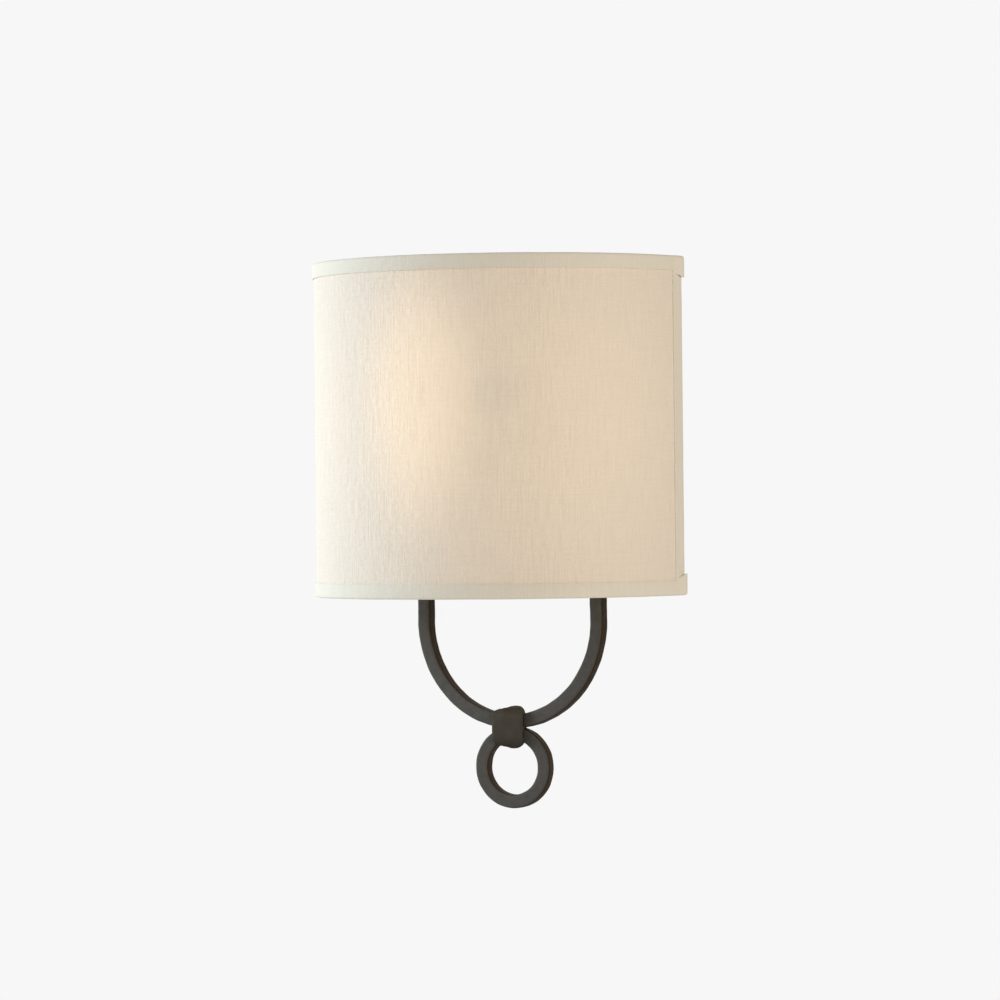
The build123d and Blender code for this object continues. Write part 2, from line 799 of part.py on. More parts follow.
stem_radius = 3.2
stem_tip = 1.8
stem_foot = glass_neck - bulb_wall - thread_clearance
stem_disc = 0.8
stem_flare = 7.0
stem_point = 6.0
stem_height = 30.0
stem_top = neck_bottom + stem_height
with BuildPart() as bulb_stem:
    with BuildSketch(holder_plane):
        with BuildLine():
            Polyline(
                (0, neck_bottom),
                (stem_foot, neck_bottom),
                (stem_foot, neck_bottom + stem_disc),
                (stem_radius, neck_bottom + stem_flare),
                (stem_radius, stem_top - stem_point),
                (stem_tip, stem_top),
                (0, stem_top),
                close=True,
            )
        make_face()
    revolve(axis=holder_axis)
save(bulb_stem, "bulb_stem")

filament_reach = 14.0
filament_wire = 0.4
filament_gap = 1.0
filament_bend = 1.5
filament_foot = stem_top + filament_wire
filament_points = [
    (-filament_gap, lamp_y, filament_foot),
    (-filament_reach, lamp_y, glass_centre),
    (filament_reach, lamp_y, glass_centre),
    (filament_gap, lamp_y, filament_foot),
]
with BuildPart() as bulb_filament:
    with BuildLine() as filament_line:
        FilletPolyline(*filament_points, radius=filament_bend)
    with BuildSketch(Plane(origin=filament_line.line @ 0, z_dir=filament_line.line % 0)):
        Circle(filament_wire)
    sweep()
save(bulb_filament, "bulb_filament")

# Post bracket: an angle of flat steel on the pan's face, its shelf out over the pan
bracket_bend = 3.0
leg_y = pan_front - bracket_thickness / 2
shelf_z = bracket_top - bracket_thickness / 2
shelf_end_y = post_y - post_nut_flats / 2 - 1.0
with BuildPart() as post_bracket:
    with BuildSketch(Plane.YZ.offset(-bracket_width / 2)):
        with BuildLine():
            FilletPolyline(
                (leg_y, bracket_top - bracket_height),
                (leg_y, shelf_z),
                (shelf_end_y, shelf_z),
                radius=bracket_bend,
            )
        trace(line_width=bracket_thickness)
    extrude(amount=bracket_width)
    corners = post_bracket.edges().filter_by(Axis.Z).group_by(Axis.Y)[0]
    corners += post_bracket.edges().filter_by(Axis.Y).group_by(Axis.Z)[0]
    fillet(corners, bracket_width / 5)
    with Locations((0, post_y, shelf_z)):
        Cylinder(post_radius + hole_clearance, 2 * bracket_thickness, mode=Mode.SUBTRACT)
    with Locations(*[facing_out(0, z, leg_y) for z in bracket_screw_heights]):
        Cylinder(screw_radius + hole_clearance, 2 * bracket_thickness, mode=Mode.SUBTRACT)
save(post_bracket, "post_bracket")

small_nut_thickness = 2.6
small_thread_end = 0.6
bracket_stack = bracket_thickness + pan_wall + eyelet_thickness
bracket_screw_length = bracket_stack + small_nut_thickness + small_thread_end
bracket_screw = pan_screw(
    screw_head_radius, screw_head_height, screw_radius, bracket_screw_length
)
bracket_front = pan_front - bracket_thickness
with BuildPart() as bracket_screws:
    with Locations(*[facing_out(0, z, bracket_front) for z in bracket_screw_heights]):
        add(bracket_screw)
save(bracket_screws, "bracket_screws")

small_nut_flats = 7.0
small_nut = hex_nut(small_nut_flats, small_nut_thickness, screw_radius + thread_clearance)
nut_seats = [
    (bracket_screw_heights[0], pan_back + eyelet_thickness),
    (bracket_screw_heights[1], pan_back),
]
with BuildPart() as bracket_nuts:
    with Locations(*[Location((0, y, z), (-90, 0, 0)) for z, y in nut_seats]):
        add(small_nut)
save(bracket_nuts, "bracket_nuts")

# Shade post: a rod threaded at both ends, behind the bulb
washer_radius = 7.0
washer_thickness = 0.8
bar_over = bar_z + bar_thickness
post_foot = bracket_top - bracket_thickness - post_nut_thickness - thread_end
post_grip = 10.0  # thread inside the finial
post_length = bar_over + post_grip - post_foot
with BuildPart() as shade_post:
    with BuildSketch(Plane.XY.offset(post_foot)):
        with Locations((0, post_y)):
            Circle(post_radius)
    extrude(amount=post_length)
    chamfer(shade_post.edges().filter_by(GeomType.CIRCLE), 0.5)
save(shade_post, "shade_post")

post_nut = hex_nut(post_nut_flats, post_nut_thickness, post_radius + thread_clearance)
nut_heights = (
    bracket_top - bracket_thickness - post_nut_thickness,
    bracket_top,
    bar_z - washer_thickness - post_nut_thickness,
)
with BuildPart() as post_nuts:
    with Locations(*[(0, post_y, z) for z in nut_heights]):
        add(post_nut)
save(post_nuts, "post_nuts")

with BuildPart() as seat_washer:
    with BuildSketch(Plane.XY.offset(bar_z - washer_thickness)):
        with Locations((0, post_y)):
            Circle(washer_radius)
            Circle(post_radius + thread_clearance, mode=Mode.SUBTRACT)
    extrude(amount=washer_thickness)
save(seat_washer, "seat_washer")

# Finial: a turned and knurled brass nut that clamps the cross bar to the post
knurls = 18
knurl_depth = 0.4
grip_bottom = 5.4
grip_top = finial_height - 4.6
grip_ease = 1.2
foot_height = 1.4
waist_height = 3.2
bore_room = 0.5
finial_foot = finial_radius - 0.8
finial_waist = finial_radius - 2.2
bore_top = post_grip + bore_room
finial_bore = post_radius + post_clearance
dome_foot = finial_radius - grip_ease
dome_rise = finial_height - grip_top - grip_ease
dome_round = (dome_foot**2 + dome_rise**2) / (2 * dome_rise)
dome_half = asin(dome_foot / dome_round) / 2
dome_centre = finial_height - dome_round
knurl = Rot(0, 0, 45) * Box(knurl_depth, knurl_depth, grip_top - grip_bottom + grip_ease)
with BuildPart() as turned_knob:
    with BuildSketch(Plane.XZ):
        with BuildLine():
            Polyline(
                (0, finial_height),
                (0, bore_top),
                (finial_bore, bore_top),
                (finial_bore, 0),
                (finial_foot, 0),
                (finial_foot, foot_height),
                (finial_waist, waist_height),
                (finial_radius, grip_bottom),
                (finial_radius, grip_top),
                (dome_foot, grip_top + grip_ease),
            )
            ThreePointArc(
                (dome_foot, grip_top + grip_ease),
                (dome_round * sin(dome_half), dome_centre + dome_round * cos(dome_half)),
                (0, finial_height),
            )
        make_face()
    revolve(axis=Axis.Z)
    with Locations((0, 0, (grip_bottom + grip_top) / 2)):
        with PolarLocations(finial_radius, knurls):
            add(knurl, mode=Mode.SUBTRACT)
with BuildPart() as finial:
    with Locations((0, post_y, bar_over)):
        add(turned_knob.part)
save(finial, "finial")

# Shade: every ring of it turns half way round the axis of the half cylinder
shade_plane = Plane(origin=(0, back_y, 0), x_dir=(1, 0, 0), z_dir=(0, -1, 0))
shade_axis = Axis((0, back_y, 0), (0, 0, -1))
half_turn = 180.0
panel_bottom = shade_bottom + trim_thickness
panel_top = shade_top - trim_thickness


def half_shell(inner, thickness):
    """A half cylinder wall between the two rims."""
    with BuildPart() as shell:
        with BuildSketch(shade_plane):
            with Locations((inner, panel_bottom)):
                Rectangle(thickness, panel_top - panel_bottom, align=(Align.MIN, Align.MIN))
        revolve(axis=shade_axis, revolution_arc=half_turn)
    return shell.part


fabric_wall = half_shell(outer - fabric_thickness, fabric_thickness)
liner_wall = half_shell(liner_inner, liner_thickness)
with BuildPart() as shade_fabric:
    add(fabric_wall)
save(shade_fabric, "shade_fabric")
with BuildPart() as shade_liner:
    add(liner_wall)
save(shade_liner, "shade_liner")

# Wires at the rims and up the two back edges
side_wire_y = back_y - wire_pocket / 2
rim_wire_heights = (panel_bottom + wire_pocket / 2, panel_top - wire_pocket / 2)


def rim_wire(height):
    """A half hoop of wire, just inside the liner."""
    with BuildPart() as hoop:
        with BuildSketch(shade_plane):
            with Locations((wire_line, height)):
                Circle(rim_wire_diameter / 2)
        revolve(axis=shade_axis, revolution_arc=half_turn)
    return hoop.part


low_hoop = rim_wire(rim_wire_heights[0])
high_hoop = rim_wire(rim_wire_heights[1])
with BuildPart() as bottom_wire:
    add(low_hoop)
save(bottom_wire, "bottom_wire")
with BuildPart() as top_wire:
    add(high_hoop)
save(top_wire, "top_wire")

side_wire_bottom = rim_wire_heights[0] + wire_pocket / 2
side_wire_top = rim_wire_heights[1] - wire_pocket / 2
with BuildPart() as side_wires:
    with BuildSketch(Plane.XY.offset(side_wire_bottom)):
        with Locations((-wire_line, side_wire_y), (wire_line, side_wire_y)):
            Circle(rim_wire_diameter / 2)
    extrude(amount=side_wire_top - side_wire_bottom)
save(side_wires, "side_wires")

# Cross bar: flat strip below the upper rim, bent up at both ends to the top wire
wire_inside = wire_line - rim_wire_diameter / 2
bar_far_edge = post_out + bar_width / 2 - shade_wall_gap
arm_x = sqrt(wire_inside**2 - bar_far_edge**2) - bar_thickness / 2 - wire_clearance
bar_centre = bar_z + bar_thickness / 2


def cross_bar_solid(growth=0.0):
    """The strip as bent, or a fatter copy of it to notch what it passes through."""
    with BuildPart() as strip:
        with BuildSketch(Plane.XZ.offset(post_out - bar_width / 2 - growth)):
            with BuildLine():
                FilletPolyline(
                    (-arm_x, shade_top - trim_thickness - wire_clearance),
                    (-arm_x, bar_centre),
                    (arm_x, bar_centre),
                    (arm_x, shade_top - trim_thickness - wire_clearance),
                    radius=bar_bend,
                )
            trace(line_width=bar_thickness + 2 * growth)
        extrude(amount=bar_width + 2 * growth)
    return strip.part


bar_solid = cross_bar_solid()
bar_space = cross_bar_solid(wire_clearance)
with BuildPart() as cross_bar:
    add(bar_solid)
    with Locations((0, post_y, bar_centre)):
        Cylinder(post_radius + hole_clearance, 2 * bar_thickness, mode=Mode.SUBTRACT)
save(cross_bar, "cross_bar")


wire_far = trim_thickness + wire_pocket  # the wire's far side, from the shade's own edge
fold_lip = 0.7  # where the tape lies flat on the liner, below its fold
fold_skew = 0.9


def rim_trim(edge, inward):
    """Folded tape over a rim: outside band, edge, and a fold inside that closes on the wire."""

    def level(depth):
        return edge + inward * depth

    with BuildPart() as trim:
        with BuildSketch(shade_plane):
            with BuildLine():
                Polyline(
                    (outer, level(trim_width)),
                    (outer + trim_thickness, level(trim_width)),
                    (outer + trim_thickness, level(0)),
                    (fold_inner, level(0)),
                    (fold_inner, level(wire_far)),
                    (liner_inner - trim_thickness, level(trim_fold - fold_lip)),
                    (liner_inner - trim_thickness, level(trim_fold)),
                    (liner_inner, level(trim_fold)),
                    (liner_inner, level(trim_fold - fold_lip - fold_skew)),
                    (fold_inner + trim_thickness, level(wire_far - wire_clearance)),
                    (fold_inner + trim_thickness, level(trim_thickness)),
                    (outer, level(trim_thickness)),
                    close=True,
                )
            make_face()
        revolve(axis=shade_axis, revolution_arc=half_turn)
        for side in (-1, 1):
            with Locations((side * wire_line, side_wire_y, level(trim_fold / 2 + wire_pocket))):
                Box(wire_pocket, wire_pocket, trim_fold + wire_pocket / 2, mode=Mode.SUBTRACT)
        add(bar_space, mode=Mode.SUBTRACT)
    return trim.part


top_tape = rim_trim(shade_top, -1)
bottom_tape = rim_trim(shade_bottom, 1)
with BuildPart() as top_trim:
    add(top_tape)
save(top_trim, "top_trim")
with BuildPart() as bottom_trim:
    add(bottom_tape)
save(bottom_trim, "bottom_trim")

# Trim up each back edge, folded round the side wire
lip_inner = liner_inner - trim_thickness - 0.2


def side_trim(side):
    """Folded tape over one back edge, between the two rim trims."""
    with BuildPart() as trim:
        with BuildSketch(Plane.XY.offset(shade_bottom + trim_width)) as section:
            with Locations((0, back_y)):
                Circle(outer + trim_thickness)
                Circle(outer, mode=Mode.SUBTRACT)
                Rectangle(
                    outer + 2 * trim_thickness,
                    trim_width,
                    align=(Align.MIN, Align.MAX),
                    mode=Mode.INTERSECT,
                )
            with BuildSketch(mode=Mode.PRIVATE) as fold:
                with BuildLine():
                    Polyline(
                        (fold_inner, back_y),
                        (fold_inner, back_y - wire_pocket),
                        (lip_inner, back_y - trim_fold + fold_lip + fold_skew),
                        (lip_inner, back_y - trim_fold),
                        (liner_inner, back_y - trim_fold),
                        (liner_inner, back_y - trim_fold + fold_lip + 2 * fold_skew),
                        (fold_inner + trim_thickness, back_y - wire_pocket + wire_clearance),
                        (fold_inner + trim_thickness, back_y),
                        close=True,
                    )
                make_face()
                with Locations((0, back_y)):
                    Circle(liner_inner - wire_clearance, mode=Mode.INTERSECT)
            add(fold.sketch)
            with Locations(((fold_inner + outer + trim_thickness) / 2, back_y + trim_thickness / 2)):
                Rectangle(outer + trim_thickness - fold_inner, trim_thickness)
            if side < 0:
                mirror(about=Plane.YZ, mode=Mode.REPLACE)
        extrude(amount=shade_height - 2 * trim_width)
    return trim.part


left_tape = side_trim(-1)
right_tape = side_trim(1)
with BuildPart() as left_trim:
    add(left_tape)
save(left_trim, "left_trim")
with BuildPart() as right_trim:
    add(right_tape)
save(right_trim, "right_trim")
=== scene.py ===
# %% [markdown]
# # A half-round linen wall light, made by hand in Blender
#
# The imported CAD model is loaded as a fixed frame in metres. Cloth and forged iron are modelled
# again here, because a CAD solid has neither weave nor hammer marks, and every other piece keeps
# its CAD shape and gets a better finish.

# %% Load the frame
import json
from math import atan2, cos, pi, radians, sin, sqrt

import bpy
from mathutils import Matrix, Vector


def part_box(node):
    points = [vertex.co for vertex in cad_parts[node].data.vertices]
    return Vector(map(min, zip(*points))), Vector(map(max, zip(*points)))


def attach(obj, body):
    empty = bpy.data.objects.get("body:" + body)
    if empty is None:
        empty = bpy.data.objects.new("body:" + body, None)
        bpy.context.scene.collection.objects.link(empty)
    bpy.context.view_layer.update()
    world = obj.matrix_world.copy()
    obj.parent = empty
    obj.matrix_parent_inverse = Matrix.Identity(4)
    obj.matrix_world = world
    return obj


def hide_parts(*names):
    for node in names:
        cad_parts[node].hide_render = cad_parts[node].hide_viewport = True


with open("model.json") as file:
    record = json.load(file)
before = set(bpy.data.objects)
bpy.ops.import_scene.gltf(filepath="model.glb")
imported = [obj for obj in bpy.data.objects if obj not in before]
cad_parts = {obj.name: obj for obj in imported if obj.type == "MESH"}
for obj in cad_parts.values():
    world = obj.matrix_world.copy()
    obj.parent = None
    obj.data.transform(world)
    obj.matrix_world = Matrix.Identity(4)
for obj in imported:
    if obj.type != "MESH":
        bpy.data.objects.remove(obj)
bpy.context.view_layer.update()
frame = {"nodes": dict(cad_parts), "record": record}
MM = 0.001

# %% [markdown]
# ## Camera
#
# The photograph was taken from the right of the light with a long lens, looking level. The lens,
# distance and a hair of roll were found by fitting the CAD outlines to the picture's edges. A long
# lens keeps the hanger's two legs nearly parallel.

# %% Camera
view_turn = radians(30.94)
roll = -0.0107
long_lens = 157.56
film_width = 36.0
sideways_shift = -0.0113
camera_at = (1.4651, -2.4525, -0.0082)
camera_data = bpy.data.cameras.new("camera")
camera_data.lens = long_lens
camera_data.sensor_width = film_width
camera_data.shift_x = sideways_shift
camera = bpy.data.objects.new("camera", camera_data)
bpy.context.scene.collection.objects.link(camera)
camera.matrix_world = (
    Matrix.Translation(camera_at)
    @ Matrix.Rotation(view_turn, 4, "Z")
    @ Matrix.Rotation(pi / 2, 4, "X")
    @ Matrix.Rotation(roll, 4, "Z")
)
bpy.context.scene.camera = camera
print("camera", [round(v, 3) for v in camera.matrix_world.translation])

# %% [markdown]
# ## Helpers for modelling
#
# Loading leaves the CAD nodes selected, and an operator acts on all that is selected, so each piece
# starts from an empty selection. A row of points is drawn as one would by hand: a single vertex,
# extruded again and again. Spun or extruded, a row becomes a wall.

# %% Modelling helpers
weld = 0.01 * MM  # points closer than this become one


def fresh(piece=None, mode="OBJECT"):
    """Object mode, nothing selected but the piece, then the mode asked for."""
    if bpy.context.object and bpy.context.object.mode != "OBJECT":
        bpy.ops.object.mode_set(mode="OBJECT")
    bpy.ops.object.select_all(action="DESELECT")
    if piece:
        piece.select_set(True)
        bpy.context.view_layer.objects.active = piece
        if mode == "EDIT":
            bpy.ops.object.mode_set(mode="EDIT")
            bpy.ops.mesh.select_all(action="SELECT")


def named(name):
    """The new primitive, named, its place moved into its mesh."""
    piece = bpy.context.object
    piece.name = name
    bpy.ops.object.transform_apply(location=True, rotation=True, scale=True)
    return piece


def pick(piece, wanted):
    """Edit mode, with only the points selected that are wanted."""
    fresh(piece, "EDIT")
    bpy.ops.object.mode_set(mode="OBJECT")
    mesh = piece.data
    for vertex in mesh.vertices:
        vertex.select = wanted(vertex.co)
    for part in (*mesh.edges, *mesh.polygons):
        part.select = all(mesh.vertices[i].select for i in part.vertices)
    bpy.ops.object.mode_set(mode="EDIT")


def drawn_length(line):
    """How long a line of points is."""
    return sum((Vector(b) - Vector(a)).length for a, b in zip(line, line[1:]))


def row(name, points, closed=False):
    """A line of vertices drawn through the points with extrude."""
    fresh()
    bpy.ops.mesh.primitive_plane_add(size=MM, location=points[0])
    piece = named(name)
    fresh(piece, "EDIT")
    bpy.ops.mesh.merge(type="CENTER")
    for before, after in zip(points, points[1:]):
        step = Vector(after) - Vector(before)
        bpy.ops.mesh.extrude_vertices_move(TRANSFORM_OT_translate={"value": step})
    bpy.ops.object.mode_set(mode="OBJECT")
    if closed:
        mesh = piece.data
        for vertex in mesh.vertices:
            vertex.select = vertex.index in (0, len(mesh.vertices) - 1)
        fresh(piece)
        bpy.ops.object.mode_set(mode="EDIT")
        bpy.ops.mesh.edge_face_add()
        bpy.ops.mesh.select_all(action="SELECT")
        bpy.ops.object.mode_set(mode="OBJECT")
    return piece


def rounded(corners, radius, steps=4):
    """The corners as a line, each inner one rounded off."""
    corners = [Vector(c) for c in corners]
    line = [corners[0]]
    for before, corner, after in zip(corners, corners[1:], corners[2:]):
        back, ahead = before - corner, after - corner
        cut = min(radius, 0.45 * back.length, 0.45 * ahead.length)
        start, end = corner + back.normalized() * cut, corner + ahead.normalized() * cut
        for i in range(steps + 1):
            t = i / steps
            line.append(start * (1 - t) ** 2 + corner * 2 * t * (1 - t) + end * t * t)
    line.append(corners[-1])
    return line


def spin(piece, centre, axis, angle, steps):
    """Spins the selected part of the piece, or all of it in object mode."""
    fresh(piece, "EDIT")
    bpy.ops.mesh.spin(steps=steps, angle=angle, center=centre, axis=axis)
    bpy.ops.mesh.select_all(action="SELECT")
    bpy.ops.mesh.remove_doubles(threshold=weld)
    bpy.ops.mesh.normals_make_consistent(inside=False)
    bpy.ops.object.mode_set(mode="OBJECT")


def modify(piece, kind, **settings):
    """Adds a modifier with its settings and applies it."""
    fresh(piece)
    modifier = piece.modifiers.new(kind.lower(), kind)
    for key, value in settings.items():
        setattr(modifier, key, value)
    bpy.ops.object.modifier_apply(modifier=modifier.name)


def smooth(piece, angle=35):
    """Smooth shading, except over edges sharper than the angle."""
    fresh(piece)
    bpy.ops.object.shade_smooth_by_angle(angle=radians(angle))


def measured(piece):
    """Prints a finished piece's size in millimetres and its triangles."""
    low = [min(v.co[i] for v in piece.data.vertices) for i in range(3)]
    high = [max(v.co[i] for v in piece.data.vertices) for i in range(3)]
    faces = sum(len(p.vertices) - 2 for p in piece.data.polygons)
    span = [f"{a / MM:.1f}..{b / MM:.1f}" for a, b in zip(low, high)]
    print(piece.name, span, "triangles", faces)


# %% [markdown]
# ## Sizes of the shade
#
# These repeat the CAD's own sizes. The axis of the half cylinder stands 8.5 mm off the wall, and
# the cloth bends round it from the right edge, over the front, to the left edge.

# %% Shade sizes
shade_low, shade_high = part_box("shade_fabric")
outer = shade_high.x
back_y = shade_high.y
trim_low, trim_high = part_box("bottom_trim")[0].z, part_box("top_trim")[1].z
shade_axis = (0, back_y, 0)
turn_axis = (0, 0, 1)
tape_width = 9.6 * MM
tape = 0.9 * MM
fold_face = 122.6 * MM  # the tape's inner face, past the rim wire
wire_far = 3.3 * MM
lip = 125.45 * MM
fold_depth = 7.0 * MM
print("outer", outer, "back", back_y, "height", trim_low, trim_high)

# %% [markdown]
# ## The linen wall
#
# The real cloth is laminated to a plastic liner, so it is taut, with only a faint unevenness where
# the glue took up more or less. It could be a cylinder cut in half, but a spun row of points gives
# the quads an even size, and the row's heights can be chosen. Two soft displacements give it the
# drift of a hand-made shade, and Solidify gives the cloth its half millimetre.

# %% Linen wall
cloth_thick = 0.5 * MM
cloth_rows = 90
cloth_turns = 220
cloth_low, cloth_high = shade_low.z, shade_high.z
heights = [cloth_low + (cloth_high - cloth_low) * i / cloth_rows for i in range(cloth_rows + 1)]
cloth_radius = outer - 0.05 * MM
shade_cloth = row("shade_cloth", [(cloth_radius, back_y, z) for z in heights])
spin(shade_cloth, shade_axis, turn_axis, pi, cloth_turns)


def around(piece, layer_name="cloth"):
    """A UV map in metres: u runs round the shade, v runs up it."""
    layer = piece.data.uv_layers.new(name=layer_name)
    for face in piece.data.polygons:
        for corner in face.loop_indices:
            point = piece.data.vertices[piece.data.loops[corner].vertex_index].co
            turn = atan2(point.x, back_y - point.y)
            layer.data[corner].uv = (turn * outer, point.z)


def drift(name, size, depth=2):
    """A soft cloud pattern, used to push a surface in and out."""
    pattern = bpy.data.textures.new(name, "CLOUDS")
    pattern.noise_scale = size
    pattern.noise_depth = depth
    return pattern


def waver(piece, name, size, strength):
    """Pushes a surface softly in and out, by half the strength either way."""
    modify(piece, "DISPLACE", texture=drift(name, size), strength=strength, mid_level=0.5)


waver(shade_cloth, "slow_drift", 0.045, 0.35 * MM)
waver(shade_cloth, "fine_drift", 0.008, 0.10 * MM)
around(shade_cloth)
modify(shade_cloth, "SOLIDIFY", thickness=cloth_thick, offset=-1)
smooth(shade_cloth)
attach(shade_cloth, "shade")
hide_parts("shade_fabric")
measured(shade_cloth)

# %% [markdown]
# ## Folded tapes at the two rims
#
# A strip of the same linen is glued over each rim. Seen from the front it is a flat band, at the
# rim it goes round the edge, and inside it closes on the rim wire and lies down on the liner. The
# line through the middle of its thickness is drawn once, spun half way round, and thickened. At its
# two ends the tape laps the side tapes, so there it stands off a little and its corners hang lower.

# %% Rim tapes
tape_mid = tape / 2
band_radius = outer + tape_mid
fold_round = 1.3 * MM
lip_turn = 0.7 * MM  # the last bit of the tape that lies flat on the liner
pressed = 0.92  # the tape's thickness once it is ironed and glued, as a share of the CAD's
cut_edge = 0.22 * MM
tape_drift = 0.25 * MM


def rim_line(edge, inward):
    """The middle of the tape's thickness, from its outer edge over the rim to its inner edge."""
    corners = [
        (band_radius, tape_width),
        (band_radius, tape_mid),
        (fold_face + tape_mid, tape_mid),
        (fold_face + tape_mid, wire_far),
        (lip, fold_depth - lip_turn),
        (lip, fold_depth),
    ]
    line = rounded([(r, 0, depth) for r, depth in corners], fold_round, 5)
    return [(p.x, back_y, edge + inward * p.z) for p in line]


def finish_tape(piece, node, flat):
    """Thickness, rounded edges, UV and what the piece stands for."""
    modify(piece, "SOLIDIFY", thickness=tape * pressed, offset=0)
    modify(
        piece,
        "BEVEL",
        width=cut_edge,
        segments=2,
        limit_method="ANGLE",
        angle_limit=radians(50),
    )
    around(piece)
    smooth(piece, 40)
    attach(piece, "shade")
    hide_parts(node)
    measured(piece)


rim_width = drawn_length(rim_line(trim_high, -1))
end_reach = 4.4 * MM  # how much further the tape's corners come down at its two ends
end_stand = 2.3 * MM  # how far its ends stand off the side tapes that they lap
end_run = 11 * MM  # how far from the end the tape lies down again
rim_turns = 200
rim_tapes = {}


def pull(value):
    """Moves the picked points, and their neighbours less and less."""
    bpy.ops.transform.translate(
        value=value,
        use_proportional_edit=True,
        use_proportional_connected=True,
        proportional_edit_falloff="SMOOTH",
        proportional_size=end_run,
    )
    bpy.ops.object.mode_set(mode="OBJECT")


def on_end_band(side, point):
    """True on the end row of the outer band, on one side."""
    return side * point.x > band_radius - 0.7 * MM and abs(point.y - back_y) < 0.2 * MM


for edge, inward, name, node in (
    (trim_high, -1, "top_tape", "top_trim"),
    (trim_low, 1, "bottom_tape", "bottom_trim"),
):
    piece = row(name, rim_line(edge, inward))
    spin(piece, shade_axis, turn_axis, pi, rim_turns)
    for side in (-1, 1):
        corner = Vector((side * band_radius, back_y, edge + inward * tape_width))
        pick(piece, lambda point: (point - corner).length < 0.3 * MM)
        pull((0, 0, inward * end_reach))
        pick(piece, lambda point: on_end_band(side, point))
        pull((side * end_stand, 0, 0))
    waver(piece, name + "_drift", 0.02, tape_drift)
    finish_tape(piece, node, (pi * outer, rim_width))
    rim_tapes[name] = piece

# %% [markdown]
# ## Folded tapes up the two back edges
#
# These run between the rim tapes, folded round the side wires. Their outer band shows a crease, a
# third of the way in from its front edge, where the strip was pressed before it was glued. The
# section is drawn in plan and extruded upwards in short steps, so that the band can drift a little.

# %% Side tapes
band_turn = tape_width / outer
band_steps = 8
crease_at = 0.37  # of the band's width, from its front edge
crease_sink = 0.3 * MM
side_sink = 0.12 * MM  # the side tapes' bands lie a hair below the rim tapes'
side_lap = 0.4 * MM  # how far each end runs under a rim tape


def side_line(side):
    """The middle of a side tape's thickness, in plan."""
    line = []
    for i in range(band_steps + 1):
        share = i / band_steps
        turn = band_turn * (1 - share)
        sink = crease_sink if abs(share - crease_at) < 0.5 / band_steps else 0.0
        radius = band_radius - side_sink - sink
        line.append((radius * cos(turn), back_y - radius * sin(turn), 0))
    rim_y = back_y + tape_mid
    corners = [
        line[-1],
        (band_radius - side_sink, rim_y, 0),
        (fold_face + tape_mid, rim_y, 0),
        (fold_face + tape_mid, back_y - 2.4 * MM, 0),
        (lip - 0.2 * MM, back_y - fold_depth + 1.6 * MM, 0),
        (lip - 0.2 * MM, back_y - fold_depth, 0),
    ]
    line = line[:-1] + [tuple(p) for p in rounded(corners, 1.0 * MM, 4)]
    return [(side * x, y, trim_low + tape_width - side_lap) for x, y, z in line]


side_height = trim_high - trim_low - 2 * tape_width + 2 * side_lap
side_steps = 60
side_tapes = {}
for side, name, node in ((-1, "left_tape", "left_trim"), (1, "right_tape", "right_trim")):
    piece = row(name, side_line(side))
    fresh(piece, "EDIT")
    for i in range(side_steps):
        lift = (0, 0, side_height / side_steps)
        bpy.ops.mesh.extrude_edges_move(TRANSFORM_OT_translate={"value": lift})
    bpy.ops.mesh.select_all(action="SELECT")
    bpy.ops.mesh.normals_make_consistent(inside=False)
    waver(piece, name + "_drift", 0.015, tape_drift)
    finish_tape(piece, node, (side_height, drawn_length(side_line(side))))
    side_tapes[name] = piece

# %% [markdown]
# ## Forged hanger
#
# The hanger is one square bar, drawn down at the corners by the hammer and bent round a former. Its
# flats are never flat: each blow leaves a shallow dish some 7 mm across. So the bar is a rounded
# square, extruded down in short steps, spun round the bend and extruded up again, and a cell
# pattern then pushes real dishes into it. Bump alone wouldn't change its outline.

# %% Hammer marks
uneven_size = 0.028
dish_size = 0.0075


def dents(name, size):
    """Cells whose middles are sunk, like the dishes that a hammer leaves."""
    pattern = bpy.data.textures.new(name, "VORONOI")
    pattern.noise_scale = size
    pattern.distance_metric = "DISTANCE_SQUARED"
    return pattern


def hammer(piece, depth):
    """Sinks hammer marks into a piece, over a slower unevenness."""
    waver(piece, piece.name + "_drift", uneven_size, 1.1 * depth)
    modify(
        piece,
        "DISPLACE",
        texture=dents(piece.name + "_dents", dish_size),
        strength=1.3 * depth,
        mid_level=0.2,
    )
    modify(piece, "SMOOTH", factor=0.4, iterations=1)


def bar_section(width, depth, ease, per_side=6, corner_steps=3):
    """A rounded rectangle as closed points (across, out), with extra points along its flats."""
    half_w, half_d = width / 2, depth / 2
    corners = [
        (half_w, half_d, 0),
        (-half_w, half_d, 1),
        (-half_w, -half_d, 2),
        (half_w, -half_d, 3),
    ]
    points = []
    for x, y, quarter in corners:
        middle = (x - ease * (1 if x > 0 else -1), y - ease * (1 if y > 0 else -1))
        for i in range(corner_steps + 1):
            angle = (quarter + i / corner_steps) * pi / 2
            points.append((middle[0] + ease * cos(angle), middle[1] + ease * sin(angle)))
    full = []
    for here, there in zip(points, points[1:] + points[:1]):
        gap = sqrt((here[0] - there[0]) ** 2 + (here[1] - there[1]) ** 2)
        parts = max(1, round(gap / (width / per_side)))
        for i in range(parts):
            full.append(tuple(a + (b - a) * i / parts for a, b in zip(here, there)))
    return full


